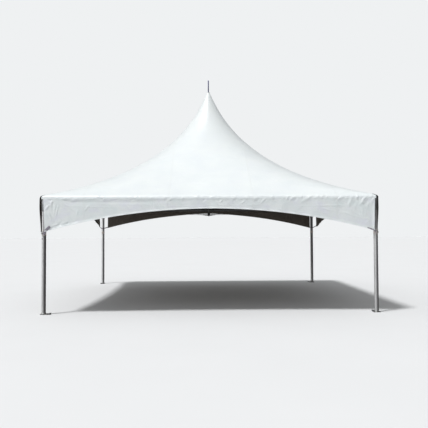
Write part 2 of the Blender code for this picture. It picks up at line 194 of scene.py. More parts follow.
def smooth(value, low, high):
    """Rise from 0 to 1 between low and high, level at both ends."""
    share = np.clip((value - low) / (high - low), 0, 1)
    return share * share * (3 - 2 * share)


def unit(ways):
    """Ways of length 1 from an array of ways."""
    return ways / np.maximum(np.linalg.norm(ways, axis=-1, keepdims=True), 1e-9)


def square_to(ways, ahead):
    """What is left of some ways, at length 1, without their share along the unit ways ahead."""
    return unit(ways - (ways * ahead).sum(1, keepdims=True) * ahead)


class Body:
    """Surfaces gathered into one mesh, each face with its finish and its place in metres as a UV."""

    def __init__(self):
        self.points, self.corners, self.sizes, self.finishes, self.places = [], [], [], [], []
        self.count = 0

    def grid(self, points, wrap_rows=False, wrap_columns=False, finish=0, uv=None, keep=None):
        """Add the faces of a grid of points (rows, columns, 3), or those of them that a mask keeps.

        A face runs along its row and then up to the next, so it looks along column step times row step.
        """
        rows, columns = points.shape[:2]
        if uv is None:
            uv = self.metres(points, wrap_rows, wrap_columns)
        row, column = np.indices((rows - 1 + wrap_rows, columns - 1 + wrap_columns))
        if keep is not None:
            row, column = row[keep], column[keep]
        steps = ((0, 0), (0, 1), (1, 1), (1, 0))
        corners = np.stack([((row + up) % rows) * columns + (column + over) % columns for up, over in steps], -1)
        places = np.stack([uv[row + up, column + over] for up, over in steps], -2)
        self.add(points.reshape(-1, 3), corners.ravel(), places.reshape(-1, 2), len(steps), finish)

    @staticmethod
    def metres(points, wrap_rows, wrap_columns):
        """Places along the rows and columns: the lengths of the grid's steps, added up."""
        def run(axis, wrap):
            ends = np.concatenate((points, np.take(points, [0], axis)), axis) if wrap else points
            steps = np.linalg.norm(np.diff(ends, axis=axis), axis=2).mean(1 - axis)
            return np.concatenate(([0.0], np.cumsum(steps)))

        return np.stack(np.meshgrid(run(0, wrap_rows), run(1, wrap_columns), indexing="ij"), -1)

    def add(self, points, corners, places, size, finish):
        """Add faces of one size whose corners number these points."""
        faces = len(corners) // size
        self.points.append(points)
        self.corners.append(corners + self.count)
        self.places.append(places)
        self.sizes.append(np.full(faces, size))
        self.finishes.append(np.full(faces, finish))
        self.count += len(points)

    def loft(self, rings, *moves, wrap=False, finish=0):
        """Add a closed body: rings of points (rings, points, 3), anticlockwise round the way they advance.

        Its ends are flat caps, unless the last ring joins the first. The moves carry it to its place.
        """
        rings = placed(rings, *moves)
        self.grid(rings, wrap_rows=wrap, wrap_columns=True, finish=finish)
        for ring in () if wrap else (rings[0][::-1], rings[-1]):
            if np.ptp(ring, 0).max() > 1e-5:
                self.add(ring, np.arange(len(ring)), ring[:, :2] - ring[:, :2].mean(0), len(ring), finish)

    def make(self, name, finishes, angle=35):
        """Return the object: seams and poles are welded, and open edges and edges past the angle are sharp."""
        mesh = bpy.data.meshes.new(name)
        used, corners = np.unique(np.concatenate(self.corners), return_inverse=True)
        sizes = np.concatenate(self.sizes)
        mesh.vertices.add(len(used))
        mesh.vertices.foreach_set("co", np.concatenate(self.points)[used].astype(np.float32).ravel())
        mesh.loops.add(len(corners))
        mesh.loops.foreach_set("vertex_index", corners.astype(np.int32))
        mesh.polygons.add(len(sizes))
        mesh.polygons.foreach_set("loop_start", np.concatenate(([0], np.cumsum(sizes)[:-1])).astype(np.int32))
        mesh.polygons.foreach_set("material_index", np.concatenate(self.finishes).astype(np.int32))
        mesh.update(calc_edges=True)
        layer = mesh.uv_layers.new(name="metres")
        layer.data.foreach_set("uv", np.concatenate(self.places).astype(np.float32).ravel())
        shape = bmesh.new()
        shape.from_mesh(mesh)
        bmesh.ops.remove_doubles(shape, verts=shape.verts, dist=1e-6)
        bmesh.ops.dissolve_degenerate(shape, edges=shape.edges, dist=1e-7)
        shape.to_mesh(mesh)
        shape.free()
        for key in finishes:
            mesh.materials.append(finish(key))
        mesh.shade_smooth()
        mesh.set_sharp_from_angle(angle=math.radians(angle))
        edges = np.zeros(len(mesh.loops), np.int32)
        mesh.loops.foreach_get("edge_index", edges)
        sharp = np.zeros(len(mesh.edges), bool)
        mesh.edges.foreach_get("use_edge_sharp", sharp)
        sharp |= np.bincount(edges, minlength=len(sharp)) < 2
        mesh.edges.foreach_set("use_edge_sharp", sharp)
        thing = bpy.data.objects.new(name, mesh)
        bpy.context.scene.collection.objects.link(thing)
        return thing

    def piece(self, name, finishes, slot, *nodes, angle=35):
        """Return the object, made to ride with the marquee in place of these plain solids."""
        return dress(self.make(name, finishes, angle), slot, *nodes)


def dress(thing, slot, *nodes):
    """Let a piece ride with the marquee in place of the plain solids, which are hidden. The slot is not used."""
    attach(thing, BODY)
    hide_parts(*nodes)
    return thing


def rounded(points, radii, steps=4, closed=True):
    """Round the corners of an outline (points, 2) with arcs of these radii.

    An arc starts and ends radius / tan(half the corner) from its corner, and runs about the centre
    that lies radius / sin(half the corner) along the corner's bisector.
    """
    points = np.asarray(points, float)
    radii = np.broadcast_to(np.asarray(radii, float), len(points)).copy()
    if not closed:
        radii[[0, -1]] = 0
    back, ahead = unit(np.roll(points, 1, 0) - points), unit(np.roll(points, -1, 0) - points)
    half = np.arccos(np.clip((back * ahead).sum(1), -1, 1)) / 2
    centre = points + unit(back + ahead) * (radii / np.sin(half))[:, None]
    start = points + back * (radii / np.tan(half))[:, None] - centre
    end = points + ahead * (radii / np.tan(half))[:, None] - centre
    sweep = np.maximum(np.pi - 2 * half, 1e-6)[:, None, None]
    share = np.linspace(0, 1, steps + 1)[None, :, None]
    arcs = np.sin((1 - share) * sweep) * start[:, None] + np.sin(share * sweep) * end[:, None]
    arcs = np.where(radii[:, None, None] > 0, centre[:, None] + arcs / np.sin(sweep), points[:, None])
    if closed:
        return arcs.reshape(-1, 2)
    return np.concatenate((points[:1], arcs[1:-1].reshape(-1, 2), points[-1:]))


def rectangle(left, right, low, high, radii, steps):
    """A rectangle's outline, anticlockwise from its lower left, with rounded corners."""
    return rounded([(left, low), (right, low), (right, high), (left, high)], radii, steps)


def circle(radius, sides):
    """An outline of one radius, anticlockwise."""
    angle = np.linspace(0, math.tau, sides, endpoint=False)
    return radius * np.stack((np.cos(angle), np.sin(angle)), -1)


def hexagon(across):
    """A nut's outline, from its width across flats, with eased corners."""
    return rounded(circle(across / math.sqrt(3), 6), across * 0.06, 2)


def level(outline, height):
    """An outline's points, all at one height."""
    return np.column_stack((outline, np.full(len(outline), height)))


def turned(profile, sides=TUBE_SIDES):
    """Rings of a turned body about Z, from a profile of (radius, height) points that runs upwards outside."""
    radius, height = np.asarray(profile, float).T[..., None]
    x, y = circle(1.0, sides).T
    return np.stack((radius * x, radius * y, height + 0 * x), -1)


def slab(outline, low, high, bevel):
    """Rings of a flat body: an outline carried from low to high, drawn in along a quarter arc at each edge."""
    outward = np.roll(outline, -1, 0) - np.roll(outline, 1, 0)
    outward = unit(np.stack((outward[:, 1], -outward[:, 0]), -1))
    arc = np.linspace(0, np.pi / 2, 4)
    drawn = bevel * np.concatenate((1 - np.sin(arc), 1 - np.cos(arc)))
    height = np.concatenate((low + bevel * (1 - np.cos(arc)), high - bevel * (1 - np.sin(arc))))
    return np.stack([level(outline - inset * outward, z) for inset, z in zip(drawn, height)])


def rod(radius, low, high):
    """Rings of a round bar about Z with eased ends."""
    bevel = 0.001
    return turned([(radius - bevel, low), (radius, low + bevel), (radius, high - bevel), (radius - bevel, high)])


def add_bolt(body, across, place):
    """A washer and a hex head, in the piece's second finish, that stand along local +Z at a place."""
    body.loft(slab(circle(across * 0.72, SMALL_SIDES), -0.004, 0.0016, 0.0005), place, finish=1)
    body.loft(slab(hexagon(across), 0.0012, across * 0.62, across * 0.07), place, finish=1)


def add_bead(body, line, radius, waves=70, ripple=0.16, finish=0):
    """A weld bead: a circle carried round a closed line, whose radius swells in waves like laid-down coins."""
    ahead = unit(np.roll(line, -1, 0) - np.roll(line, 1, 0))
    outward = square_to(line - line.mean(0), ahead)
    across = np.cross(ahead, outward)
    turn = np.linspace(0, math.pi * waves, len(line), endpoint=False)
    size = radius * (1 + ripple * np.abs(np.sin(turn)))
    x, y = circle(1.0, 10).T[..., None]
    ring = x * outward[:, None] + y * across[:, None]
    body.loft(line[:, None] + size[:, None, None] * ring, wrap=True, finish=finish)


def plug(tree, socket, value):
    """Link a socket to another node's output or set it to a value; a colour gets its alpha here."""
    if isinstance(value, bpy.types.NodeSocket):
        tree.links.new(value, socket)
    else:
        socket.default_value = (*value, 1.0) if socket.type == "RGBA" else value


def add_node(tree, kind, *inputs, output=None, **settings):
    """Add a node and return the output of this name, or else the first that it shows.

    Its inputs come in the order that it shows them, or by name, as values or other nodes' outputs, and what
    else is named is the node's own setting.
    """
    node = tree.nodes.new("ShaderNode" + kind)
    for name, value in settings.items():
        if name in node.inputs:
            plug(tree, node.inputs[name], value)
        else:
            setattr(node, name, value)
    for socket, value in zip([socket for socket in node.inputs if socket.enabled], inputs):
        plug(tree, socket, value)
    return node.outputs[output] if output else next((socket for socket in node.outputs if socket.enabled), None)


def layered(add, base, *layers):
    """Lay colours over a base. A layer's share rises from 0 at its pattern's first level to most at the second."""
    for pattern, first, second, most, tint in layers:
        share = add("MapRange", pattern, first, second, 0.0, most)
        base = add("Mix", share, base, tint, data_type="RGBA")
    return base


def mill_aluminium(add, tint):
    """Mill-finish extruded aluminium tube, drawn through a die.

    It gives fine lines along the tube, a broad satin gleam and a few dull handling marks.
    """
    metres = add("UVMap", uv_map="metres")
    # Die lines lie about 1 mm apart: drawn 3 mm wide so that they show, and 0.5 m long
    lines = add("TexNoise", add("Mapping", metres, Scale=(1 / 170, 1, 1)), 1 / 0.003, 2.0, 0.55)
    marks = add("TexNoise", add("Mapping", metres, Scale=(1 / 2.5, 1, 1)), 1 / 0.045, 4.0, 0.55)
    face = layered(add, 0.90 * tint, (lines, 0.3, 0.7, 1.0, 1.05 * tint), (marks, 0.52, 0.74, 0.35, 0.72 * tint))
    gloss = add("MapRange", lines, 0.3, 0.7, 0.56, 0.66)
    gloss = add("Math", gloss, add("MapRange", marks, 0.52, 0.74, 0.0, 0.12), operation="ADD")
    return face, gloss, add("Bump", Distance=0.00012, Height=lines), {"Metallic": 1.0}


def cast_aluminium(add, tint):
    """Sand-cast and welded aluminium, left as cast.

    It gives a fine sandy grain of about 1 mm, greyer in its hollows, and no clear reflection.
    """
    place = add("TexCoord", output="Object")
    # Sand grain of 0.4 mm, drawn at 1.5 mm so that it shows
    grain = add("TexNoise", place, 1 / 0.0015, 5.0, 0.7)
    clouds = add("TexNoise", place, 1 / 0.05, 3.0, 0.55)
    face = layered(add, 1.04 * tint, (clouds, 0.35, 0.7, 1.0, 0.80 * tint), (grain, 0.55, 0.8, 0.5, 0.62 * tint))
    gloss = add("MapRange", grain, 0.3, 0.7, 0.44, 0.62)
    return face, gloss, add("Bump", Distance=0.0006, Height=grain), {"Metallic": 1.0}


def painted_steel(add, tint):
    """Mild steel plate under worn grey paint.

    It gives a dull orange-peel coat, chips that show bare steel, and dust where feet have scuffed it.
    """
    place = add("TexCoord", output="Object")
    peel = add("TexNoise", place, 1 / 0.004, 2.0, 0.55)
    wear = add("TexNoise", place, 1 / 0.022, 6.0, 0.65)
    dust_and_shade = add("TexNoise", add("Mapping", place, Scale=(1, 1, 1 / 0.2)), 1 / 0.06, 4.0, 0.55)
    face = layered(add, tint, (dust_and_shade, 0.4, 0.75, 0.55, linear("#8f8c84")), (wear, 0.64, 0.67, 1.0, linear("#a3a19c")))
    gloss = add("MapRange", dust_and_shade, 0.3, 0.7, 0.42, 0.72)
    chips = add("MapRange", wear, 0.64, 0.67)
    height = add("Math", add("Math", peel, 0.3, operation="MULTIPLY"), chips, operation="SUBTRACT")
    bare = add("Math", chips, 0.9, operation="MULTIPLY")
    return face, gloss, add("Bump", Distance=0.0003, Height=height), {"Metallic": bare}


def galvanised_wire(add, tint):
    """Galvanised steel wire rope.

    Zinc on each wire gives a soft grey with pale and dark patches, darker where dirt sits in the lay.
    """
    place = add("TexCoord", output="Object")
    shade = add("SeparateColor", add("TexVoronoi", place, 1 / 0.006, output="Color"))
    grime = add("TexNoise", place, 1 / 0.09, 4.0, 0.55)
    face = layered(add, 0.82 * tint, (shade, 0.0, 1.0, 1.0, 1.12 * tint), (grime, 0.5, 0.75, 0.5, 0.5 * tint))
    gloss = add("MapRange", shade, 0.0, 1.0, 0.36, 0.52)
    return face, gloss, add("Bump", Distance=0.00008, Height=shade), {"Metallic": 1.0}


def zinc_plate(add, tint):
    """Bright zinc plate on turned steel: bolts, pins, forks and turnbuckles.

    It gives a clean grey gleam with fine turning lines, a little dulled by handling.
    """
    metres = add("UVMap", uv_map="metres")
    # Turning lines 0.3 mm apart, drawn at 1 mm
    lines = add("TexNoise", add("Mapping", metres, Scale=(1, 1 / 60, 1)), 1 / 0.001, 2.0, 0.55)
    stain = add("TexNoise", metres, 1 / 0.03, 4.0, 0.55)
    face = layered(add, tint, (stain, 0.45, 0.7, 1.0, 0.76 * tint), (lines, 0.3, 0.7, 0.3, 1.1 * tint))
    gloss = add("MapRange", stain, 0.4, 0.7, 0.27, 0.46)
    return face, gloss, add("Bump", Distance=0.00006, Height=lines), {"Metallic": 1.0}


def anodised_spike(add, tint):
    """Aluminium rod with a tinted anodised coat.

    The dye gives a grey violet, under a thin clear gleam.
    """
    metres = add("UVMap", uv_map="metres")
    lines = add("TexNoise", add("Mapping", metres, Scale=(1 / 40, 1, 1)), 1 / 0.002, 2.0, 0.55)
    face = layered(add, 0.85 * tint, (lines, 0.3, 0.7, 1.0, 1.1 * tint))
    gloss = add("MapRange", lines, 0.3, 0.7, 0.34, 0.46)
    coat = {"Metallic": 0.75, "Coat Weight": 0.3, "Coat Roughness": 0.25}
    return face, gloss, add("Bump", Distance=0.00008, Height=lines), coat


def moulded_plastic(add, tint):
    """Injection-moulded white plastic, ultraviolet-stable polypropylene.

    It gives a fine leathery mould grain of about 1 mm and a dull gleam, a little yellowed.
    """
    place = add("TexCoord", output="Object")
    grain = add("TexNoise", place, 1 / 0.001, 3.0, 0.55)
    age = add("TexNoise", place, 1 / 0.03, 2.0, 0.55)
    face = layered(add, tint, (age, 0.3, 0.75, 1.0, linear("#dedfd9")))
    gloss = add("MapRange", grain, 0.3, 0.7, 0.38, 0.52)
    return face, gloss, add("Bump", Distance=0.0001, Height=grain), {"IOR": 1.49}


def woven_webbing(add, tint):
    """Woven polyester webbing.

    Twill ribs slant across it, painted lighter on their crowns and darker in their furrows as light and shade,
    and the fibres give no gleam, only a soft sheen.
    """
    metres = add("UVMap", uv_map="metres")
    # Ribs 1.6 mm apart, drawn 9.4 mm apart so that they show. At a scale of 1 waves are tau / 20 m apart
    turn = add("Mapping", metres, Rotation=(0, 0, math.radians(35)))
    ribs = add("TexWave", turn, math.tau / 20 / 0.009425, 0.6, output="Fac")
    fuzz = add("TexNoise", metres, 1 / 0.0015, 3.0, 0.55)
    # Painted light and shade: each rib's crown is lighter and its furrow darker
    face = layered(add, 0.72 * tint, (ribs, 0.0, 1.0, 1.0, 1.2 * tint), (fuzz, 0.4, 0.8, 0.35, 1.5 * tint))
    gloss = add("MapRange", fuzz, 0.3, 0.7, 0.82, 0.95)
    sheen = {"Sheen Weight": 0.35, "Sheen Roughness": 0.5, "IOR": 1.5}
    return face, gloss, add("Bump", Distance=0.0006, Height=ribs), sheen


# In metres: the width of the top's strips, what they overlap by where they are welded, the reach of a hip's
# weld along a side, the soft edge of any of these, and the scrim's squares. The scrim has 18 threads to the
# inch: its squares are drawn at the finest size that a close view shows
STRIP_WIDTH, OVERLAP, HIP_WELD, SEAM_EDGE, SCRIM_SQUARE = 1.55, 0.038, 0.028, 0.002, 0.006


def hip_welds(add, down, along):
    """Welds 40 mm wide up the top's hips, where the place along a side is as large as the place down it."""
    off = add("Math", add("Math", along, operation="ABSOLUTE"), down, operation="SUBTRACT")
    return add("MapRange", add("Math", off, operation="ABSOLUTE"), HIP_WELD + SEAM_EDGE, HIP_WELD)


def folded_hem(add, up, _along):
    """A valance's hem, folded up from its arch."""
    width = bpy.context.scene.marquee_fabric.hem_width
    return add("MapRange", up, width + 0.0015, width)


def coated_vinyl(add, outer, shade, first_seams, dust_and_shade, aged, crown_shade):
    """Blockout vinyl: polyester scrim laminated between PVC films.

    The film gives a smooth white with a soft wet-look gleam and the scrim's small squares pressed through
    it. Welded seams are two layers thick, and handling leaves faint cloudy dirt and storage folds.
    The first seams come as a function that gives their mask from the two places in metres. The next choice is a
    factor that darkens the whole face as painted shade, below 1 on the valances so that they look shaded beside the
    top; then the share of its tint in the patches that have turned, and the share of a painted shade that greys the
    face towards the first place's zero, the crown.
    """
    metres = add("UVMap", uv_map="metres")
    down = add("SeparateXYZ", metres)
    along = down.node.outputs["Y"]
    # Painted shade: the whole face is darkened by this factor, which is below 1 on the valances
    outer, shade = dust_and_shade * outer, dust_and_shade * shade
    clouds = add("TexNoise", metres, 1 / 0.55, 4.0, 0.55)
    grime = add("TexNoise", add("Mapping", metres, Scale=(1, 1 / 3, 1)), 1 / 0.12, 5.0, 0.55)
    age = add("TexNoise", add("Mapping", metres, Scale=(1, 1 / 1.5, 1)), 1 / 0.24, 3.0, 0.55)
    # Each strip's place is measured from the weld between it and the next
    strip = add("Math", along, STRIP_WIDTH / 2, operation="PINGPONG")
    strip = add("Math", add("Math", strip, STRIP_WIDTH / 2, operation="SUBTRACT"), operation="ABSOLUTE")
    strip = add("MapRange", strip, OVERLAP / 2 + SEAM_EDGE, OVERLAP / 2)
    seam = add("Math", first_seams(add, down, along), strip, operation="MAXIMUM")
    # The face greys towards the crown, as painted shade
    # The film ages unevenly: some patches turn violet and some green
    face = layered(
        add, outer, (clouds, 0.35, 0.7, 1.0, shade), (grime, 0.55, 0.85, 0.25, 0.88 * shade),
        (down, 1.5, 0.15, crown_shade, 0.84 * outer), (age, 0.50, 0.66, aged, (0.985, 0.955, 1.03) * shade),
        (age, 0.48, 0.34, aged, (0.955, 0.99, 0.98) * shade), (seam, 0.0, 1.0, 0.35, 0.94 * outer),
    )
    threads = [
        add("Math", add("Math", place, math.tau / SCRIM_SQUARE, operation="MULTIPLY"), operation="SINE")
        for place in (down, along)
    ]
    weave = add("Math", add("Math", *threads, operation="ADD"), 0.5, operation="MULTIPLY")
    relief = add("Bump", Distance=0.00004, Height=weave)
    relief = add("Bump", Distance=0.0009, Height=seam, Normal=relief)
    # Creases from packing: straight edges between cells of two sizes, where a mask lets them show
    shown = add("MapRange", add("TexNoise", metres, 1 / 0.26, 1.0, 0.55), 0.40, 0.66)
    for size, depth in ((0.27, 0.0012), (0.12, 0.0006)):
        cells = add("TexVoronoi", Vector=metres, Scale=1 / size, feature="DISTANCE_TO_EDGE")
        crease = add("Math", add("MapRange", cells, 0.007 / size, 0.0), shown, operation="MULTIPLY")
        relief = add("Bump", Distance=depth, Height=crease, Normal=relief)
    rumple = add("TexNoise", add("Mapping", metres, Scale=(1, 1 / 1.6, 1)), 1 / 0.05, 4.0, 0.6)
    gloss = add("MapRange", grime, 0.4, 0.75, 0.36, 0.50)
    film = {"IOR": 1.53, "Coat Weight": 0.12, "Coat Roughness": 0.35}
    return face, gloss, add("Bump", Distance=0.0022, Height=rumple, Normal=relief), film


def painted_shade_lining(add, tint):
    """The inner face, painted a dark warm grey as the shade under the top and inside the valances.

    It gives a dull warm grey-brown with soft clouds and paler scuffs.
    """
    metres = add("UVMap", uv_map="metres")
    clouds = add("TexNoise", metres, 1 / 0.4, 4.0, 0.55)
    scuffs = add("TexNoise", add("Mapping", metres, Scale=(1 / 4, 1, 1)), 1 / 0.05, 5.0, 0.55)
    face = layered(add, 0.88 * tint, (clouds, 0.3, 0.7, 1.0, 1.12 * tint), (scuffs, 0.6, 0.8, 0.3, 1.6 * tint))
    gloss = add("MapRange", scuffs, 0.4, 0.7, 0.55, 0.7)
    return face, gloss, add("Bump", Distance=0.002, Height=clouds), {"IOR": 1.53}


def pale_ground(add, tint):
    """Plain pale matt floor, which gives faint clouds and no gleam."""
    clouds = add("TexNoise", add("TexCoord", output="Object"), 1 / 1.8, 3.0, 0.55)
    face = layered(add, tint, (clouds, 0.3, 0.7, 1.0, 0.985 * tint))
    return face, 0.95, None, {"Specular IOR Level": 0.1}


# Each finish: its maker, the settings that give its colours, and its maker's other choices. The solids bring
# plain finishes of their own, so no name here may be one of theirs
FINISHES = {
    "mill_finish_aluminium": (mill_aluminium, ["frame.tube"]),
    "sand_cast_aluminium": (cast_aluminium, ["frame.cast"]),
    "worn_painted_steel": (painted_steel, ["frame.plate"]),
    "galvanised_wire_rope": (galvanised_wire, ["frame.wire"]),
    "zinc_plated_steel": (zinc_plate, ["frame.zinc"]),
    "anodised_aluminium": (anodised_spike, ["frame.spike"]),
    "moulded_polypropylene": (moulded_plastic, ["frame.plastic"]),
    "woven_polyester_webbing": (woven_webbing, ["fabric.webbing"]),
    "pale_webbing": (woven_webbing, ["fabric.pale_webbing"]),
    # For the top, the last choice is the share of painted shade that greys it towards the crown
    "vinyl_top": (coated_vinyl, ["fabric.outer", "fabric.shade"], hip_welds, 1.0, 0.1, 0.62),
    # The valance's factor of 0.93 paints it darker than the top, as shade
    "vinyl_valance": (coated_vinyl, ["fabric.outer", "fabric.shade"], folded_hem, 0.93, 0.6, 0.0),
    # The lining's dark grey-brown is painted shade
    "painted_shade_lining": (painted_shade_lining, ["fabric.lining"]),
    "stage_floor": (pale_ground, ["studio.floor"]),
}


def finish(key):
    """Return a finish by its name, made when it is first asked for."""
    if key in bpy.data.materials:
        return bpy.data.materials[key]
    maker, settings, *choices = FINISHES[key]
    material = bpy.data.materials.new(key)
    material.use_nodes = True
    tree = material.node_tree
    tints = [np.array(bpy.context.scene.path_resolve("marquee_" + path)) for path in settings]
    face, gloss, relief, others = maker(partial(add_node, tree), *tints, *choices)
    for name, value in {"Base Color": face, "Roughness": gloss, "Normal": relief, **others}.items():
        if value is not None:
            plug(tree, tree.nodes["Principled BSDF"].inputs[name], value)
    return material


def fall(rate, share):
    """An exponential fall from 1 to 0 as the share goes from 0 to 1, steeper for a larger rate."""
    end = math.exp(-rate)
    return (np.exp(-rate * share) - end) / (1 - end)


def ridge(along, drop, place, down, slant, half_length, width, height):
    """A crease that stands out of the fabric, seen flat: along the eave, and down from its bend.

    With p along the crease and q across it, both from its middle, it lifts the fabric by
    height * exp(-(q / width)^2) * (1 - (p / half_length)^2)^2, and by nothing past its ends.
    """
    lean = math.radians(slant)
    p = (along - place) * math.cos(lean) - (drop - down) * math.sin(lean)
    q = (along - place) * math.sin(lean) + (drop - down) * math.cos(lean)
    return height * np.exp(-(q / width) ** 2) * np.clip(1 - (p / half_length) ** 2, 0, 1) ** 2


# The larger creases of a side: place along it, drop, slant in degrees, half length, width and height, in mm,
# of which the widths and heights are drawn at the shares that follow
BOLD_CREASES = (
    (-2580, 170, -34, 230, 24, 6), (2562, 110, 70, 105, 20, 15), (2610, 15, 50, 70, 18, 11),
    (2800, 80, 52, 120, 24, 17), (2880, 95, 56, 90, 16, -9), (2640, 120, 66, 80, 15, -7), (2985, 80, 66, 100, 14, 12),
    (2693, 10, 40, 60, 18, 10), (2378, 22, 48, 65, 14, 9), (2286, 30, 45, 65, 13, 8), (2050, -10, 35, 90, 24, 9),
    (1830, 0, 38, 90, 18, 9), (1750, 45, 36, 130, 24, 8), (1502, 20, 42, 80, 16, 10), (1570, 35, 48, 60, 12, -7),
    (1124, 5, 40, 65, 15, 9), (958, 70, 45, 95, 16, 10), (811, 45, 50, 60, 13, 9), (870, 55, 58, 55, 11, -8),
    (591, 95, 40, 80, 15, 7), (187, 75, 42, 65, 14, 7), (15, 0, 35, 55, 13, 8), (-115, 45, 30, 55, 14, -8),
    (-252, -10, 45, 55, 13, 8), (-526, 20, 40, 55, 13, 8), (-727, 30, 50, 50, 12, 8), (-800, 35, 60, 45, 11, -7),
    (-855, 20, 50, 50, 12, 8), (-1420, 37, 10, 65, 13, -6), (-1710, 36, 12, 75, 13, -6), (-1948, 30, 60, 45, 12, 8),
    (-2002, 30, 20, 50, 12, -8), (-2492, 42, 25, 75, 14, 8), (-2637, 50, -10, 90, 15, -9),
    (-2927, 45, -5, 60, 14, -9), (-2905, 110, 78, 90, 12, 11), (-2846, 230, 84, 150, 11, 11),
    (-2805, 250, 78, 170, 12, 10), (-2975, 170, 52, 90, 12, 12), (-2930, 330, -70, 120, 13, 11),
    (-2872, 120, -78, 80, 11, -9), (-2434, 270, 84, 100, 11, 7), (-2260, 190, 50, 100, 12, 7),
    (-2885, 545, 38, 55, 14, -10), (-2760, 490, 34, 80, 14, -10), (-2612, 470, 52, 45, 12, -10),
    (-2840, 500, 20, 80, 11, 7), (-2690, 465, 24, 70, 11, 6), (-2455, 425, 16, 60, 11, -6),
    (2740, 330, -24, 150, 12, 4), (2900, 455, 30, 80, 9, 5), (2790, 270, 86, 200, 10, 5),
    (2480, 290, -18, 150, 12, 4), (2150, 235, -12, 120, 12, 4), (1640, 190, 48, 70, 12, 4),
    (2870, 395, -30, 70, 9, 4), (2955, 85, 68, 60, 10, 8), (2990, 45, 50, 40, 9, 8),
)
BOLD_WIDTH, BOLD_HEIGHT = 1.12, 0.78
# Folds that storage has left: place along, drop, slant, half length and height, and their width in metres
STORED_FOLDS = (
    (2080, 160, 0.5, 620, 3.5), (-2250, 165, -2, 660, 2), (100, 150, 0.4, 1400, 1.5), (2550, 330, -14, 500, 2.5),
    (760, 120, 88, 160, 1.2), (-790, 120, 91, 160, 1.2), (1980, 170, 90, 220, 3), (-1580, 170, 91, 220, 1),
    (2300, 300, 88, 240, 1.5),
)
FOLD_WIDTH = 0.010


def eave_creases(fabric, along, drop, seed):
    """How far the fabric stands out along one eave, at places in metres: its small and bold creases.

    The small ones stand every 76 mm, each moved, turned and sized by chance. Towards its first end the fabric
    also sags over the rail, by 7 mm * exp(-((drop - 14 mm) / 30 mm)^2), more here and less there by three
    sines, and dips in under it, by 4 mm * exp(-((drop - 85 mm) / 30 mm)^2).
    """
    chance = np.random.default_rng(fabric.crease_seed + seed)
    lift = np.zeros(np.broadcast(along, drop).shape)
    for place in np.arange(-2.95, 2.98, 0.076):
        over, down, slant, reach, strength, width = chance.random(6)
        tallest = fabric.crease_height * (0.80 + 0.25 * smooth(place, -0.6, 2.2))
        lift += ridge(
            along, drop, place + 0.06 * (over - 0.5), 0.040 * down - 0.010, 34 + 30 * slant,
            0.035 + 0.045 * reach, 0.009 + 0.005 * width, tallest * (0.2 + 0.8 * strength),
        )
    for place, down, slant, reach, width, height in BOLD_CREASES:
        width, height = BOLD_WIDTH * width / 1000, BOLD_HEIGHT * height / 1000
        lift += ridge(along, drop, place / 1000, down / 1000, slant, reach / 1000, width, height)
    sag = smooth(along, -2.90, -2.60) * (1 - smooth(along, 0.30, 1.80))
    sag *= 0.72 + 0.15 * np.sin(along * 4.1 + seed) + 0.12 * np.sin(along * 9.7) + 0.10 * np.sin(along * 23.0)
    hollow = smooth(along, -2.75, -2.45) * (1 - smooth(along, -1.40, -0.80))
    lift += 0.0068 * sag * np.exp(-((drop - 0.014) / 0.030) ** 2)
    return lift - 0.004 * hollow * np.exp(-((drop - 0.085) / 0.030) ** 2)


def hem_height(side, x):
    """The hem's height at places along a side: 1.917 - 0.045 x^2, and 75 mm more towards the rear of the tent."""
    arch = 1.917 - 0.045 * x ** 2
    if side == "rear":
        # Its middle is drawn up
        arch = arch + 0.023 * np.exp(-(x / 0.75) ** 2)
    lift = {"rear": 1.0, "left": smooth(-x, 0.3, 2.0), "right": smooth(x, 2.45, 2.95)}.get(side, 0.0)
    return arch + 0.075 * lift


# Where the strip along the eave is sewn to the rest of the top: its share of the way from crown to eave
STRIP_SHARE = 0.90
EAVE_SLOPE = math.radians(25)
# How far the strip's lowest rows hang below the rails' axis
HANGING = np.array([0.023, 0.015, 0.007])


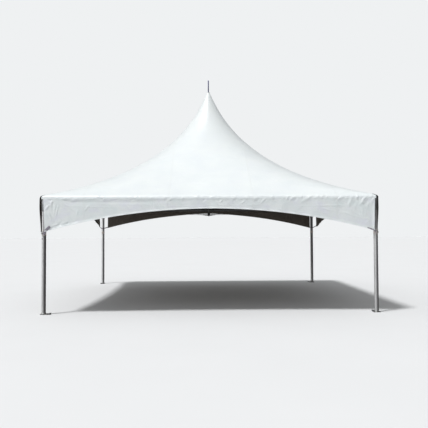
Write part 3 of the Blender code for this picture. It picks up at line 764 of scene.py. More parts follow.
def roof_surface(fabric, share, columns, rim):
    """The top's outer face, ring by ring at these shares of the way from crown to eave, and its places seen flat.

    At the share u the height is eave + (crown - eave) * (0.2 fall(8, u) + 0.8 fall(0.75, u)), where
    fall(r, u) is exponential. The ring's half width is w = neck + (eave - neck) * u, and it turns from
    round to square: the point of the unit square's front edge at a is drawn in to
    (a, -1) * w / (1 + |a|^n)^(1/n), 1/n = (1 - u^1.7) / 2. With a rim, rings come first that bend round
    the rail's sleeves, from hanging straight to the slope of 25 degrees.
    """
    eave_x, eave_z = HALF_BAY + EAVE_R * math.sin(EAVE_SLOPE), RAIL_Z + EAVE_R * math.cos(EAVE_SLOPE)
    place = np.linspace(-1, 1, columns + 1)
    inverse = (1 - share[:, None] ** 1.7) / 2
    norm = np.where(inverse > 1e-3, (1 + np.abs(place) ** (1 / np.maximum(inverse, 1e-3))) ** inverse, 1.0)
    y = (NECK_R + (eave_x - NECK_R) * share[:, None]) / norm
    height = 0.2 * fall(8.0, share) + 0.8 * fall(0.75, share)
    lean = np.full((len(share), 1), EAVE_SLOPE)
    # Seen flat, the fabric runs on without a step where the slope starts to bend round the rail
    rows = [y * place, y, eave_z + (MAST_HIGH.z - eave_z) * height[:, None] + 0 * y,
            y - EAVE_FACE - 0.030, y - 0.030 * smooth(y, 2.7, eave_x), lean]
    if rim:
        bend = np.linspace(math.pi / 2, EAVE_SLOPE, 8)[:-1]
        normal = np.concatenate((np.full(len(HANGING), math.pi / 2), bend))[:, None]
        out = (HALF_BAY + EAVE_R * np.sin(normal)) * np.ones(columns + 1)
        up = RAIL_Z + np.concatenate((-HANGING, EAVE_R * np.cos(bend)))[:, None] + 0 * out
        run = np.concatenate((HANGING, EAVE_R * (bend - math.pi / 2)))[:, None] + 0 * out
        below = (out * place, out, up, run, EAVE_FACE + run, normal)
        rows = [np.concatenate(pair) for pair in zip(below, rows)]
    x, y, z, drop, down, lean = rows
    # Creases fade up the slope and towards the hips, where two sides pull each other tight
    ease = smooth(1 - np.abs(place), 0.0, 0.012)
    sides = []
    for number, (_, angle, *_) in enumerate(SIDES):
        lift = eave_creases(fabric, x, drop, number) * ease * smooth(drop, -0.30, -0.10) if rim else 0.0 * x
        lift += 0.004 * np.sin(x / 0.31 + number) * smooth(drop, -0.9, -0.3) * smooth(-drop, 0.0, 0.3) * ease
        points = np.stack((x, -y - lift * np.sin(lean), z + lift * np.cos(lean)), -1)
        sides.append(flared(placed(points, spin("Z", angle))))
    return sides, np.stack((down, x), -1)


def flared(points):
    """Belly the fabric out, by up to 27 mm at the front left, 16 mm at the front right and 40 mm at the rear right.

    It is tied in to the legs further down.
    """
    x, y, z = np.moveaxis(points, -1, 0)
    fall_short = EAVE_EDGE_Z - z
    front = smooth(-y, 1.9, 3.0) * (1 - smooth(fall_short, 0.10, 0.68))
    rear = smooth(y, 2.0, 2.84) * smooth(fall_short, 0.0, 0.25)
    right, left = smooth(x, 2.7, 3.05), smooth(-x, 2.7, 3.05)
    return np.stack((x + 0.016 * right * front - 0.027 * left * front + 0.040 * right * rear, y, z), -1)


# How many columns of the strip's grid a notch takes at a side's first and second end, so that fittings show
NOTCHES = {"front": (3, 5), "right": (5, 4), "rear": (4, 4), "left": (4, 3)}
NOTCH_ROWS = 13


def add_canopy(fabric):
    """The fabric top: a sheet from the crown down, and the strip along its eave that goes over the rails.

    The strip is notched at the tent's corners.
    """
    high = STRIP_SHARE * np.linspace(0, 1, 26)[::-1] ** 1.5
    low = 1 - (1 - STRIP_SHARE) * np.linspace(0, 1, 13) ** 1.6
    for name, share, columns, rim in (("canopy_cover", high, 248, False), ("canopy_eave_strip", low, 496, True)):
        body = Body()
        sides, flat = roof_surface(fabric, share, columns, rim)
        for side, (first, second) in zip(sides, NOTCHES.values()):
            keep = np.ones((len(side) - 1, columns), bool)
            if rim:
                # Its upper edge meets the coarser grid of the cover without a gap
                side[-1, 1::2] = (side[-1, :-1:2] + side[-1, 2::2]) / 2
                keep[:NOTCH_ROWS, :first] = False
                keep[:NOTCH_ROWS, -second:] = False
            body.grid(side, uv=flat, keep=keep)
        sheet = body.make(name, ["vinyl_top", "painted_shade_lining"], angle=60)
        add_lining(sheet, fabric)
        if rim:
            dress(sheet, "white_vinyl")
        else:
            # Its four gores take up about 0.6 of the square that they are cut from
            dress(sheet, "white_vinyl", "canopy_roof")


def add_lining(thing, fabric):
    """Thicken a sheet inwards, with its second finish on the inner face."""
    shell = thing.modifiers.new("Fabric", "SOLIDIFY")
    shell.thickness = fabric.thickness
    shell.offset = -1.0
    # The inner face takes the second finish: for the top and valances, the lining painted dark as shade
    shell.material_offset = 1


# How far a valance's first and second ends lie from its middle, each at the eave and at the hem
VALANCE_ENDS = {
    "front": ((3.054, 3.024), (3.026, 3.012)), "right": ((3.030, 3.020), (2.850, 2.830)),
    "rear": ((3.004, 3.008), (2.917, 2.921)), "left": ((2.860, 2.850), (3.084, 3.060)),
}
VALANCE_COLUMNS, VALANCE_ROWS = 480, 44


def valance_surface(fabric, number, side, angle):
    """A valance's outer face, from its arched hem up to its weld, and its places seen flat.

    The fabric hangs in soft folds, which deepen down from the eave: three sines of the place along it.
    It takes the eave's creases, and its hem turns out by 7 mm, as does the front one's second end by 11 mm.
    """
    share = np.linspace(0, 1, VALANCE_ROWS + 1)[:, None] ** 0.9
    place = np.linspace(-1, 1, VALANCE_COLUMNS + 1)
    top_z, hem_z = EAVE_EDGE_Z + 0.006, float(hem_height("front", 3.04))
    # Its ends lean in from the eave to the hem
    upper, lower = (np.where(place < 0, *ends) for ends in zip(*VALANCE_ENDS[side]))
    hem = hem_height(side, place * lower)
    z = hem + (top_z - hem) * share
    rise = np.clip((z - hem_z) / (top_z - hem_z), 0, 1)
    x = place * (lower + (upper - lower) * rise)
    drop, over_hem = RAIL_Z - z, z - hem
    wave = (x + 0.35 * drop * np.sin(x * 1.1 + number)) / 0.62 * math.tau + 0.9 * np.sin(x * 1.7 + number)
    soft = 0.0042 * np.sin(wave) + 0.0018 * np.sin(2.3 * wave + 1.2 * number) + 0.0005 * np.sin(5.1 * wave + 2.0)
    lift = soft * smooth(drop, 0.02, 0.24) + eave_creases(fabric, x, drop, number)
    for middle, down, slant, reach, height in STORED_FOLDS:
        lift += ridge(x, drop, middle / 1000, down / 1000, slant, reach / 1000, FOLD_WIDTH, height / 1000)
    curl = 1 - smooth(over_hem, 0.0, fabric.hem_width)
    lift += 0.0065 * curl * (1 + 0.5 * np.sin(x / 0.045 + np.sin(x / 0.13)))
    # It is drawn in where it goes up behind the strip's edge
    lift -= 0.0016 * smooth(z, EAVE_EDGE_Z - 0.024, EAVE_EDGE_Z - 0.012)
    if side == "front":
        # Its second end curls out
        lift += 0.011 * smooth(x, upper - 0.060, upper) * smooth(drop, 0.02, 0.10)
    points = placed(np.stack((x, -EAVE_FACE - lift, z), -1), spin("Z", angle))
    if side in ("left", "right"):
        points = flared(points)
    return points, np.stack((over_hem, x), -1)


def add_valances(fabric):
    """A strip of fabric under each side of the eave, with its arched hem and the cord that is welded into it."""
    for number, (side, angle, *_) in enumerate(SIDES):
        points, flat = valance_surface(fabric, number, side, angle)
        body = Body()
        body.grid(points, uv=flat)
        valance = body.make("valance_cloth_" + side, ["vinyl_valance", "painted_shade_lining"], angle=60)
        add_lining(valance, fabric)
        dress(valance, "white_vinyl", "valance_" + side)
        cord = Body()
        out = spin("Z", angle)[:3, :3] @ (0.0, -1.0, 0.0)
        ring = circle(0.0034, 10)
        cord.loft((points[0] - 0.0006 * out)[:, None] + ring[:, :1] * out + ring[:, 1:] * (0, 0, 1))
        bead = cord.piece("valance_hem_cord_" + side, ["vinyl_valance"], "white_vinyl")


# A bolt's width across flats, how far into a socket its tube goes, and the radius of the socket's bore
BOLT = 0.013
SOCKET_STOP = 0.050
SOCKET_R = TUBE_R + 0.0004
BOLTED_CASTING = ("sand_cast_aluminium", "zinc_plated_steel")
# The height of a leg's detent pin, how far a base plate's nose rises, and the part of a plate that stays flat
PIN_Z = 1.372
NOSE_RISE = 0.012
NOSE_START = 0.060


def sleeve(radius, bore, low, high, bevel=0.0015, sides=TUBE_SIDES):
    """Rings of a tube about Z with eased rims, to be closed from the last ring to the first."""
    return turned(rectangle(bore, radius, low, high, bevel, 2), sides)


def socket(radius, length):
    """Rings of a socket arm about Z: a domed end at the centre, then out, and back down its bore to the stop."""
    turn = np.linspace(0, math.pi / 2, 9)
    dome = np.stack((radius * np.sin(turn), -radius * np.cos(turn)), -1)
    rim = [(radius, 0.0), (radius, length), (SOCKET_R, length), (SOCKET_R, SOCKET_STOP)]
    return turned([*dome, *rounded(rim, 0.0012, 2, closed=False)[1:], (0.0, SOCKET_STOP)])


def add_feet():
    """Base plates, with a rolled nose on the long end, and the weld that holds each leg."""
    low, high = PLATE_LOW.x + HALF_BAY, PLATE_HIGH.x + HALF_BAY
    half_width, thickness, corner = PLATE_HIGH.y + HALF_BAY, PLATE_HIGH.z, 0.012
    arc = corner * (1 - np.cos(np.linspace(0, math.pi / 2, 7)))
    x = np.concatenate((low + arc, np.linspace(low + corner, high - corner, 22)[1:-1], high - arc[::-1]))
    inset = corner - np.minimum(np.minimum(x - low, high - x), corner)
    half = half_width - corner + np.sqrt(np.maximum(corner ** 2 - inset ** 2, 0))
    rings = []
    for place, reach in zip(x, half):
        y, z = rectangle(-reach, reach, 0, thickness, 0.0016, 3).T
        rings.append(np.stack((place + 0 * y, y, z + NOSE_RISE * smooth(place, NOSE_START, high) ** 1.4), -1))
    weld = level(circle(TUBE_R + 0.0008, BEAD_STEPS), thickness + 0.0005)
    for name, angle in CORNERS:
        body = Body()
        body.loft(np.array(rings), at_corner(angle))
        add_bead(body, placed(weld, at_corner(angle)), 0.0042, waves=44, finish=1)
        body.piece(
            "foot_plate_" + name, ["worn_painted_steel", "zinc_plated_steel"],
            "painted_steel", "base_plate_" + name,
        )


def add_legs():
    """Legs: tubes with a dark detent pin in its collar at shoulder height, on the tent's outer side."""
    pin = turned([(0.0, -0.004), (0.0072, -0.004), (0.0072, 0.0), (0.0062, 0.0046), (0.0035, 0.0066), (0.0, 0.0068)])
    collar = sleeve(0.0125, 0.0085, -0.003, 0.0024, 0.0007, SMALL_SIDES)
    for name, angle in CORNERS:
        body = Body()
        body.loft(rod(TUBE_R, LEG_LOW.z, LEG_HIGH.z), at_corner(angle))
        outward = at_corner(angle) @ spin("Z", 225) @ shift(TUBE_R, 0, PIN_Z) @ spin("Y", 90)
        body.loft(pin, outward, shift(z=-0.0006), finish=1)
        body.loft(collar, outward, shift(z=-0.0012), wrap=True, finish=1)
        body.piece(
            "leg_tube_" + name, ["mill_finish_aluminium", "worn_painted_steel"],
            "aluminium_tube", "leg_" + name,
        )


def add_rails():
    """Eave rails: two tubes a side under a sleeve, which through bolts hold from below."""
    half = (JOINT_HIGH.x - JOINT_LOW.x) / 2
    for side, angle, *ends in SIDES:
        place = spin("Z", angle) @ shift(0, -HALF_BAY, RAIL_Z)
        for end, sign in zip(ends, (-1, 1)):
            body = Body()
            body.loft(rod(TUBE_R, *sorted((-sign * RAIL_HIGH.x, -sign * RAIL_LOW.x))), place, spin("Y", 90))
            body.piece(
                f"rail_tube_{side}_{end}", ["mill_finish_aluminium"],
                "aluminium_tube", f"eave_rail_{side}_{end}",
            )
        body = Body()
        body.loft(sleeve(SLEEVE_R, SOCKET_R, -half, half), place, spin("Y", 90), wrap=True)
        for x in (-0.125, -0.055, 0.055, 0.125):
            add_bolt(body, BOLT, place @ shift(x, 0, -SLEEVE_R - 0.0002) @ spin("X", 180))
        body.piece("rail_sleeve_" + side, BOLTED_CASTING, "cast_aluminium", "rail_joint_" + side)


# Cable runs, as the solids have them: pins at the hub and at the corner, from the axis of mast or leg
HUB_PIN_R, HUB_PIN_Z = 0.062, 1.885
CORNER_PIN_R, CORNER_PIN_Z = 0.095, 2.085
LEVEL_RUN, RISE = math.hypot(HALF_BAY, HALF_BAY) - CORNER_PIN_R - HUB_PIN_R, CORNER_PIN_Z - HUB_PIN_Z
RUN = math.hypot(LEVEL_RUN, RISE)
# Along a run: where its turnbuckle's frame ends and starts, and where the stud that goes into it starts
BUCKLE_OUT = RUN - 0.160
BUCKLE_IN = BUCKLE_OUT - 0.260
STUD = BUCKLE_IN - 0.180
THREAD_R, THREAD_PITCH = 0.0069, 0.0035


def cable_place(angle):
    """A run's place: its origin at the hub's pin, and +X along the cable to the corner's pin."""
    slant = math.degrees(math.atan2(RISE, LEVEL_RUN))
    return spin("Z", angle + 225) @ shift(HUB_PIN_R, 0, HUB_PIN_Z) @ spin("Y", -slant)


def from_corner(angle):
    """A run's place turned round: its origin at the corner's pin, and +X along the cable to the hub's."""
    return cable_place(angle) @ shift(RUN) @ spin("Z", 180)


def cable_lug():
    """Rings of the lug that a fork's pin goes through, its hole's place at the origin."""
    outline = rectangle(-0.050, 0.016, -0.014, 0.014, (0.001, 0.0135, 0.0135, 0.001), 6)
    return slab(outline, -0.005, 0.005, 0.0008)


def add_corner_fittings():
    """Corner fittings: a domed post with two arms, welded where they meet, and a lug for the cable."""
    arm_r, post_length = 0.0425, RAIL_Z - FITTING_LOW.z
    post, arm = socket(SLEEVE_R, post_length), socket(arm_r, FITTING_HIGH.x + HALF_BAY)
    rim = level(circle(TUBE_R + 0.0012, BEAD_STEPS), 0.0005 - post_length)
    z, y = circle(arm_r, BEAD_STEPS).T
    # Where an arm's circle of (y, z) meets the post
    saddle = np.stack((np.sqrt(SLEEVE_R ** 2 - y ** 2), y, z), -1)
    for name, angle in CORNERS:
        place = at_corner(angle, RAIL_Z)
        body = Body()
        body.loft(post, place, spin("X", 180))
        body.loft(arm, place, spin("Y", 90))
        body.loft(arm, place, spin("X", -90))
        add_bead(body, placed(rim, place), 0.0022, waves=40)
        for line in (saddle, saddle[:, (1, 0, 2)]):
            add_bead(body, placed(line, place), 0.0032, waves=46)
        body.loft(cable_lug(), from_corner(angle), spin("X", 90))
        for x in (0.205, 0.120):
            for turn in (0, 90):
                add_bolt(body, BOLT, place @ spin("Z", turn) @ shift(x, 0, -arm_r - 0.0002) @ spin("X", 180))
        for height in (-0.100, -0.195):
            add_bolt(body, BOLT, place @ spin("Z", 45) @ shift(SLEEVE_R + 0.0002, 0, height) @ spin("Y", 90))
        body.piece("corner_casting_" + name, BOLTED_CASTING, "cast_aluminium", "corner_fitting_" + name)


def wound(low, high, turn, steps, columns):
    """Places along a bar about X, with so many rings to a turn, and angles round it."""
    x = np.linspace(low, high, int((high - low) / turn * steps) + 1)
    return np.meshgrid(x, np.linspace(0, math.tau, columns, endpoint=False), indexing="ij")


def rope(radius, low, high, lay):
    """Rings of a six-strand rope along +X: r = radius (0.84 + 0.16 |cos 3a|), and a turns once over each lay."""
    x, around = wound(low, high, lay, 8, 18)
    size, angle = radius * (0.84 + 0.16 * np.abs(np.cos(3 * around))), around + math.tau * x / lay
    return np.stack((x, size * np.cos(angle), size * np.sin(angle)), -1)


def thread(low, high):
    """Rings of a threaded bar along +X: its radius falls by 12% and rises again once a pitch, on a helix."""
    x, around = wound(low, high, THREAD_PITCH, 4, 14)
    share = (x / THREAD_PITCH - around / math.tau) % 1
    size = THREAD_R * (1 - 0.24 * np.abs(share - 0.5))
    return np.stack((x, size * np.cos(around), size * np.sin(around)), -1)


def ferrule(start, first_groove, end):
    """Rings of a swaged ferrule about Z, with the four grooves, 18 mm apart, that pressing leaves."""
    grooves = [
        (radius, first_groove + 0.018 * number + step)
        for number in range(4) for radius, step in ((0.009, -0.003), (0.0078, 0.0), (0.009, 0.003))
    ]
    return turned([*start, *grooves, *end], SMALL_SIDES)


def add_fork(body, place, finish):
    """A clevis, its two round-nosed cheeks on either side of a lug, and the pin through them with head and nut."""
    cheek = rectangle(-0.014, 0.045, -0.0135, 0.0135, (0.013, 0.002, 0.002, 0.013), 6)
    root = rectangle(0.028, 0.0448, -0.0134, 0.0134, 0.002, 2)
    shank = [(0.0, -0.0187), (0.0056, -0.0187), (0.006, -0.0182), (0.006, 0.0184), (0.0055, 0.019), (0.0, 0.019)]
    head = slab(hexagon(0.0165), 0.0146, 0.0186, 0.0007)
    for rings, turn in (
        (slab(cheek, -0.0148, -0.0056, 0.0012), 90), (slab(cheek, 0.0056, 0.0148, 0.0012), 90),
        (slab(root, -0.0100, 0.0100, 0.0004), 90), (turned(shank, SMALL_SIDES), 90), (head, 90), (head, -90),
    ):
        body.loft(rings, place, spin("X", turn), finish=finish)


def add_cables(settings):
    """Cross cables end to end: a fork and a swaged ferrule at the hub, the rope, and a swaged stud."""
    inner = ferrule(
        [(0.0, 0.038), (0.0082, 0.038), (0.009, 0.040)], 0.052,
        [(0.009, 0.128), (0.0065, 0.137), (0.0043, 0.139), (0.0, 0.139)],
    )
    outer = ferrule(
        [(0.0, STUD - 0.003), (0.0043, STUD - 0.003), (0.0065, STUD - 0.001), (0.009, STUD + 0.006)], STUD + 0.020,
        [(0.009, STUD + 0.090), (0.007, STUD + 0.100), (0.0, STUD + 0.100)],
    )
    strands = rope(0.004, 0.130, STUD + 0.004, settings.rope_lay)
    for name, angle in CORNERS:
        place = cable_place(angle)
        body = Body()
        body.loft(strands, place)
        for rings in (inner, outer):
            body.loft(rings, place, spin("Y", 90), finish=1)
        body.loft(thread(STUD + 0.098, BUCKLE_IN + 0.075), place, finish=1)
        add_fork(body, place, 1)
        body.piece(
            "rope_" + name, ["galvanised_wire_rope", "zinc_plated_steel"],
            "galvanised_wire", "cross_cable_" + name, angle=50,
        )


def add_turnbuckles():
    """Turnbuckles: a forged body of two side bars between bosses, lock nuts, and the threaded stud of a fork."""
    boss = turned(
        [(0.0072, 0.0), (0.0150, 0.0), (0.0168, 0.003), (0.0168, 0.031), (0.0150, 0.034), (0.0072, 0.034)],
        SMALL_SIDES,
    )
    nut = slab(hexagon(0.026), 0.0, 0.010, 0.0010)
    bar = rectangle(-0.0042, 0.0042, -0.0066, 0.0066, 0.0028, 3)[None]
    run = np.linspace(BUCKLE_IN + 0.010, BUCKLE_OUT - 0.010, 40)[:, None]
    apart = 0.0120 - 0.0012 * np.sin(np.linspace(0, math.pi, 40))[:, None]
    for name, angle in CORNERS:
        place = cable_place(angle)
        body = Body()
        for x in (BUCKLE_IN, BUCKLE_OUT - 0.034):
            body.loft(boss, place, shift(x), spin("Y", 90), wrap=True)
        for side in (-1, 1):
            body.loft(np.stack((run + 0 * bar[..., 0], side * apart + bar[..., 0], 0 * run + bar[..., 1]), -1), place)
        for x in (BUCKLE_IN - 0.0105, BUCKLE_OUT + 0.0005):
            body.loft(nut, place, shift(x), spin("Y", 90))
        body.loft(thread(BUCKLE_OUT - 0.105, RUN - 0.040), place)
        add_fork(body, from_corner(angle), 0)
        body.piece("tensioner_" + name, ["zinc_plated_steel"], "galvanised_wire", "turnbuckle_" + name, angle=40)


def add_mast():
    """The mast on its hub, with the crown's ring, cap and spike."""
    body = Body()
    body.loft(rod(MAST_R, MAST_LOW.z, MAST_HIGH.z))
    body.piece("mast_tube", ["mill_finish_aluminium"], "aluminium_tube", "mast")

    low, top, inner = HUB_LOW.z, HUB_HIGH.z, MAST_R + 0.0008
    disc_top = low + 0.035
    outside = [
        (0.027, low), (0.035, low), (0.035, disc_top), (0.031, disc_top + 0.003), (0.031, top), (inner, top),
        (inner, disc_top),
    ]
    body = Body()
    body.loft(turned([(0.0, low), (0.027, low), *rounded(outside, 0.0025, 3, closed=False)[1:], (0.0, disc_top)]))
    add_bead(body, level(circle(0.0315, BEAD_STEPS), disc_top + 0.002), 0.0026, waves=36)
    for _, angle in CORNERS:
        body.loft(cable_lug(), cable_place(angle), spin("X", 90))
    for angle in (0, 120, 240):
        add_bolt(body, 0.010, spin("Z", angle) @ shift(0.0312, 0, top - 0.020) @ spin("Y", 90))
    add_bolt(body, 0.019, shift(0, 0, low) @ spin("X", 180))
    body.piece("cable_hub", BOLTED_CASTING, "cast_aluminium", "mast_hub")

    quarter = np.linspace(0, math.pi / 2, 10)[:-1]
    radius, thickness = CAP_HIGH.x, CAP_HIGH.z - CAP_LOW.z
    edge = np.stack((radius * np.cos(quarter), thickness * (0.30 + 0.70 * np.sin(quarter))), -1)
    disc = turned([(0.0, 0.0), (radius - 0.0007, 0.0), (radius, 0.0007), *edge, (0.0, thickness)])
    body = Body()
    body.loft(disc, shift(z=CAP_LOW.z))
    body.piece("crown_disc", ["moulded_polypropylene"], "white_plastic", "crown_cap")

    radius, low, top = SPIKE_HIGH.x, SPIKE_LOW.z, SPIKE_HIGH.z
    tip = np.stack((radius * np.cos(quarter), top - 0.030 + 0.030 * np.sin(quarter)), -1)
    groove = radius - 0.003
    collar = [
        (0.0, low), (radius, low), (radius, low + 0.016), (groove, low + 0.018), (groove, low + 0.021),
        (radius, low + 0.023), (radius, top - 0.030),
    ]
    collar = rounded(collar, (0, 0.0008, 0.0008, 0.0005, 0.0005, 0.0008, 0), 2, closed=False)
    body = Body()
    body.loft(turned([*collar, *tip[1:], (0.0, top)]))
    body.piece("peak_rod", ["anodised_aluminium"], "anodised_spike", "peak_spike")


def ribbon(path, width_way, width, thickness):
    """Rings of a strap: an eased flat section carried along a path, its width along a given way at each point."""
    ahead = unit(np.gradient(path, axis=0))
    across = square_to(width_way, ahead)
    up = np.cross(ahead, across)
    x, y = rectangle(-width / 2, width / 2, -thickness / 2, thickness / 2, thickness * 0.45, 2).T[..., None]
    return path[:, None] + x * across[:, None] + y * up[:, None]


def curve_through(points, count):
    """A smooth path through points: Catmull-Rom, with its ends' own chords as their tangents."""
    padded = np.concatenate((2 * points[:1] - points[1:2], points, 2 * points[-1:] - points[-2:-1]))
    place = np.linspace(0, len(points) - 1 - 1e-9, count)
    index = place.astype(int)
    share = (place - index)[:, None]
    p0, p1, p2, p3 = (padded[index + step] for step in range(4))
    return 0.5 * (
        2 * p1 + (p2 - p0) * share + (2 * p0 - 5 * p1 + 4 * p2 - p3) * share ** 2
        + (3 * p1 - p0 - 3 * p2 + p3) * share ** 3
    )


# Webbing lies on the leg at this radius, drawn in rings of this many points
WEBBING_R = TUBE_R + 0.0016
WEBBING_STEPS = 72


def strap_band(height, width):
    """Rings of a band of webbing round a leg, at a height."""
    path = level(circle(WEBBING_R, WEBBING_STEPS), height)
    path = np.concatenate((path[-1:], path, path[:1]))
    return ribbon(path, np.array([[0.0, 0.0, 1.0]]), width, 0.0019)[1:-1]


# Where a tail runs, from the leg's axis along the side and up from the ground, in metres
FRONT_LEFT_TAIL = ((-0.004, 1.456), (0.014, 1.474), (0.034, 1.508), (0.066, 1.545), (0.098, 1.575), (0.122, 1.593))
FRONT_RIGHT_TAIL = ((-0.004, 1.460), (0.016, 1.484), (0.040, 1.509), (0.080, 1.522), (0.125, 1.537), (0.170, 1.552))
REAR_TAIL = ((-0.004, 1.596), (0.016, 1.598), (0.050, 1.608), (0.080, 1.618), (0.120, 1.626), (0.150, 1.630))
LONG_TAIL = ((-0.004, 1.596), (0.016, 1.598), (0.070, 1.612), (0.130, 1.628), (0.200, 1.645), (0.265, 1.660))
# Each corner's two tails: where they run, and how far they stand out at the valance's end
TAILS = {
    "front_left": ((FRONT_LEFT_TAIL, 0.0), (FRONT_LEFT_TAIL, 0.0)),
    "front_right": ((FRONT_RIGHT_TAIL, 0.0), (FRONT_RIGHT_TAIL, 0.0)),
    "rear_right": ((REAR_TAIL, 0.002), (LONG_TAIL, 0.036)),
    "rear_left": ((LONG_TAIL, 0.002), (LONG_TAIL, 0.002)),
}


def add_straps():
    """Webbing round each leg: a pale band, a tail sewn to the corner of each valance, and a cam buckle."""
    middle, half = (STRAP_LOW.z + STRAP_HIGH.z) / 2, (STRAP_HIGH.z - STRAP_LOW.z) / 2
    cord = level(circle(TUBE_R + 0.0038, WEBBING_STEPS), 0.0)
    buckle = level(rectangle(-0.021, 0.021, -0.013, 0.013, 0.004, 4), 0.0)[:, (2, 0, 1)]
    lever = slab(rectangle(-0.016, 0.016, -0.010, 0.010, 0.003, 3), -0.001, 0.0014, 0.0005)
    for name, angle in CORNERS:
        place = at_corner(angle)
        body = Body()
        body.loft(strap_band(middle, 2 * half), place, wrap=True, finish=2)
        # The cord that laces it, wound above and below the band
        for height, lean in ((half + 0.026, 7), (-half - 0.017, -5)):
            line = placed(cord, place, shift(0, 0, middle + height), spin("Y", lean))
            add_bead(body, line, 0.0038, ripple=0.1, finish=2)
        if name.startswith("rear"):
            body.loft(strap_band(REAR_TAIL[0][1], 0.025), place, wrap=True)
        # The front left one's tails are double webbing
        width, face = (0.048, -EAVE_R - 0.0080) if name == "front_left" else (0.024, -EAVE_R - 0.0090)
        for mirrored, (points, belly) in enumerate(TAILS[name]):
            along, up = np.array(points).T
            depth = np.array([-WEBBING_R - 0.0012, -WEBBING_R - 0.0022, face * 0.97, face, face - 0.0004, face])
            path = curve_through(np.stack((along, depth - belly * smooth(along, 0.02, 0.20), up), -1), 32)
            outward = np.array([0.0, -1.0, 0.0])
            if mirrored:
                path, outward = path[:, (1, 0, 2)], outward[[1, 0, 2]]
            body.loft(ribbon(path, np.cross(np.gradient(path, axis=0), outward), width, 0.0017), place)
        spot = place @ spin("Z", 225) @ shift(WEBBING_R + 0.0042, 0, middle)
        add_bead(body, placed(buckle, spot), 0.0022, ripple=0.0, finish=1)
        body.loft(lever, spot, spin("Y", 90) @ spin("X", 12), finish=1)
        body.piece(
            "tie_strap_" + name, ["woven_polyester_webbing", "zinc_plated_steel", "pale_webbing"],
            "grey_webbing", "corner_strap_" + name,
        )


def add_floor():
    """A plain pale floor under the marquee, wide enough to reach the horizon."""
    body = Body()
    x, y = np.meshgrid(np.linspace(-120, 120, 5), np.linspace(-120, 120, 5))
    body.grid(np.stack((x, y, np.full_like(x, -0.0005)), -1))
    floor = body.make("stage_floor", ["stage_floor"])
    # Metal reflects the dark ground of the surround instead
    floor.visible_glossy = False


def add_lights(studio):
    """One large key from the left, front and above, a low lamp for gleams alone, and a soft surround."""
    for name, energy, softness, way in (
        ("key", studio.key_strength, studio.key_softness, (-0.335, -0.235, 0.912)),
        ("gleam", studio.gleam_strength, math.radians(50), (-0.80, -0.34, 0.54)),
    ):
        light = bpy.data.lights.new(name, "SUN")
        light.energy = energy
        light.angle = softness
        lamp = bpy.data.objects.new(name, light)
        lamp.rotation_euler = Vector(way).to_track_quat("Z", "Y").to_euler()
        bpy.context.scene.collection.objects.link(lamp)
    # The low lamp, made last, gives gleams and no other light
    lamp.visible_diffuse = False

    world = bpy.data.worlds.new("surround")
    bpy.context.scene.world = world
    world.use_nodes = True
    world.node_tree.nodes.clear()
    add = partial(add_node, world.node_tree)
    across = add("SeparateXYZ", add("TexCoord", output="Generated"))
    up = across.node.outputs["Z"]
    # What lights the tent: brighter on the left and from above
    side = add("MapRange", across, -0.9, 0.9, 1.18, 0.57)
    height = add("MapRange", up, 0.0, 1.0, 0.69, 1.02)
    soft = add("Math", side, height, operation="MULTIPLY")
    soft = add("Math", soft, 0.58 * studio.fill_strength, operation="MULTIPLY")
    soft = add("Background", (0.985, 0.995, 1.0), soft)
    # What metal reflects: a dim grey surround, a little paler on the left and near black on the right
    panels = add("ValToRGB", add("MapRange", across, -1.0, 1.0))
    stops = panels.node.color_ramp.elements
    stops.new(0.5)
    for stop, grey in zip(stops, ((0.32, 0.32, 0.31), (0.24, 0.24, 0.24), (0.06, 0.06, 0.06))):
        stop.color = (*grey, 1.0)
    above = add("MapRange", up, -0.25, 0.05, 0.3 * studio.fill_strength, studio.fill_strength)
    glossy = add("LightPath", output="Is Glossy Ray")
    surround = add("MixShader", glossy, soft, add("Background", panels, above))
    backdrop = add("Background", tuple(studio.backdrop), 1.0)
    add("OutputWorld", add("MixShader", glossy.node.outputs["Is Camera Ray"], surround, backdrop))


def add_camera(studio):
    """The photograph's view: almost square on to the front, from a standing eye level."""
    yaw, pitch, roll = 0.020758, 0.031091, -0.0045789
    focal_pixels, width_pixels = 560.82, 428
    ahead = Vector((math.sin(yaw) * math.cos(pitch), math.cos(yaw) * math.cos(pitch), math.sin(pitch)))
    level = Vector((math.cos(yaw), -math.sin(yaw), 0.0))
    up = level.cross(ahead)
    right = math.cos(roll) * level + math.sin(roll) * up
    top = math.cos(roll) * up - math.sin(roll) * level
    data = bpy.data.cameras.new("camera")
    data.sensor_width = 36.0
    data.lens = focal_pixels / width_pixels * data.sensor_width
    data.clip_end = 400.0
    camera = bpy.data.objects.new("camera", data)
    place = Matrix((right, top, -ahead)).transposed().to_4x4()
    place.translation = (-0.155, -studio.camera_distance, studio.camera_height)
    camera.matrix_world = place
    bpy.context.scene.collection.objects.link(camera)
    bpy.context.scene.camera = camera
    bpy.context.scene.view_settings.view_transform = "Standard"


class MARQUEE_OT_top(bpy.types.Operator):
    """Add the coated top"""

    bl_idname = "marquee.add_top"
    bl_label = "Add Top"
    bl_options = {"REGISTER", "UNDO"}

    def execute(self, context):
        add_canopy(context.scene.marquee_fabric)
        return {"FINISHED"}


class MARQUEE_OT_valances(bpy.types.Operator):
    """Add the four valances with their hem cords"""

    bl_idname = "marquee.add_valances"
    bl_label = "Add Valances"
    bl_options = {"REGISTER", "UNDO"}

    def execute(self, context):
        add_valances(context.scene.marquee_fabric)
        return {"FINISHED"}


class MARQUEE_OT_straps(bpy.types.Operator):
    """Add the webbing that ties the valances to the legs"""

    bl_idname = "marquee.add_straps"
    bl_label = "Add Straps"
    bl_options = {"REGISTER", "UNDO"}

    def execute(self, context):
        add_straps()
        return {"FINISHED"}


class MARQUEE_OT_legs(bpy.types.Operator):
    """Add the legs with their base plates"""

    bl_idname = "marquee.add_legs"
    bl_label = "Add Legs"
    bl_options = {"REGISTER", "UNDO"}

    def execute(self, context):
        add_feet()
        add_legs()
        return {"FINISHED"}


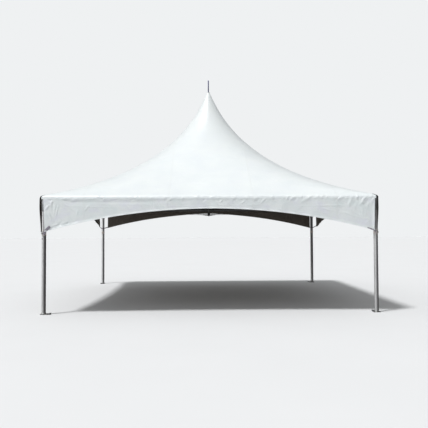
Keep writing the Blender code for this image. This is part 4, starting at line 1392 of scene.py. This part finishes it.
class MARQUEE_OT_rails(bpy.types.Operator):
    """Add the eave rails with their sleeves"""

    bl_idname = "marquee.add_rails"
    bl_label = "Add Rails"
    bl_options = {"REGISTER", "UNDO"}

    def execute(self, context):
        add_rails()
        return {"FINISHED"}


class MARQUEE_OT_fittings(bpy.types.Operator):
    """Add the corner fittings"""

    bl_idname = "marquee.add_fittings"
    bl_label = "Add Corner Fittings"
    bl_options = {"REGISTER", "UNDO"}

    def execute(self, context):
        add_corner_fittings()
        return {"FINISHED"}


class MARQUEE_OT_cables(bpy.types.Operator):
    """Add the cross cables with their turnbuckles"""

    bl_idname = "marquee.add_cables"
    bl_label = "Add Cables"
    bl_options = {"REGISTER", "UNDO"}

    def execute(self, context):
        add_cables(context.scene.marquee_frame)
        add_turnbuckles()
        return {"FINISHED"}


class MARQUEE_OT_mast(bpy.types.Operator):
    """Add the mast, its hub, and the cap and spike at the crown"""

    bl_idname = "marquee.add_mast"
    bl_label = "Add Mast"
    bl_options = {"REGISTER", "UNDO"}

    def execute(self, context):
        add_mast()
        return {"FINISHED"}


class MARQUEE_OT_stage(bpy.types.Operator):
    """Add the floor, the lights and the camera"""

    bl_idname = "marquee.add_stage"
    bl_label = "Add Stage"
    bl_options = {"REGISTER", "UNDO"}

    def execute(self, context):
        studio = context.scene.marquee_studio
        add_floor()
        add_lights(studio)
        add_camera(studio)
        return {"FINISHED"}


OPERATORS = (
    MARQUEE_OT_legs, MARQUEE_OT_fittings, MARQUEE_OT_rails, MARQUEE_OT_mast, MARQUEE_OT_cables,
    MARQUEE_OT_top, MARQUEE_OT_valances, MARQUEE_OT_straps, MARQUEE_OT_stage,
)
SETTINGS = {"marquee_fabric": MarqueeFabric, "marquee_frame": MarqueeFrame, "marquee_studio": MarqueeStudio}


class MARQUEE_PT_panel(bpy.types.Panel):
    """The settings, and one button for each group of pieces"""

    bl_idname = "MARQUEE_PT_panel"
    bl_label = "Marquee"
    bl_space_type = "VIEW_3D"
    bl_region_type = "UI"
    bl_category = "Marquee"

    def draw(self, context):
        for name in SETTINGS:
            box = self.layout.box()
            group = getattr(context.scene, name)
            for key in group.bl_rna.properties.keys():
                if key not in ("rna_type", "name"):
                    box.prop(group, key)
        for operator in OPERATORS:
            self.layout.operator(operator.bl_idname)


CLASSES = (*SETTINGS.values(), *OPERATORS, MARQUEE_PT_panel)


def register():
    for item in CLASSES:
        bpy.utils.register_class(item)
    for name, group in SETTINGS.items():
        setattr(bpy.types.Scene, name, bpy.props.PointerProperty(type=group))


def unregister():
    for name in SETTINGS:
        delattr(bpy.types.Scene, name)
    for item in reversed(CLASSES):
        bpy.utils.unregister_class(item)


def main():
    register()
    bpy.ops.marquee.add_legs()
    bpy.ops.marquee.add_fittings()
    bpy.ops.marquee.add_rails()
    bpy.ops.marquee.add_mast()
    bpy.ops.marquee.add_cables()
    bpy.ops.marquee.add_top()
    bpy.ops.marquee.add_valances()
    bpy.ops.marquee.add_straps()
    bpy.ops.marquee.add_stage()


if __name__ == "__main__":
    main()
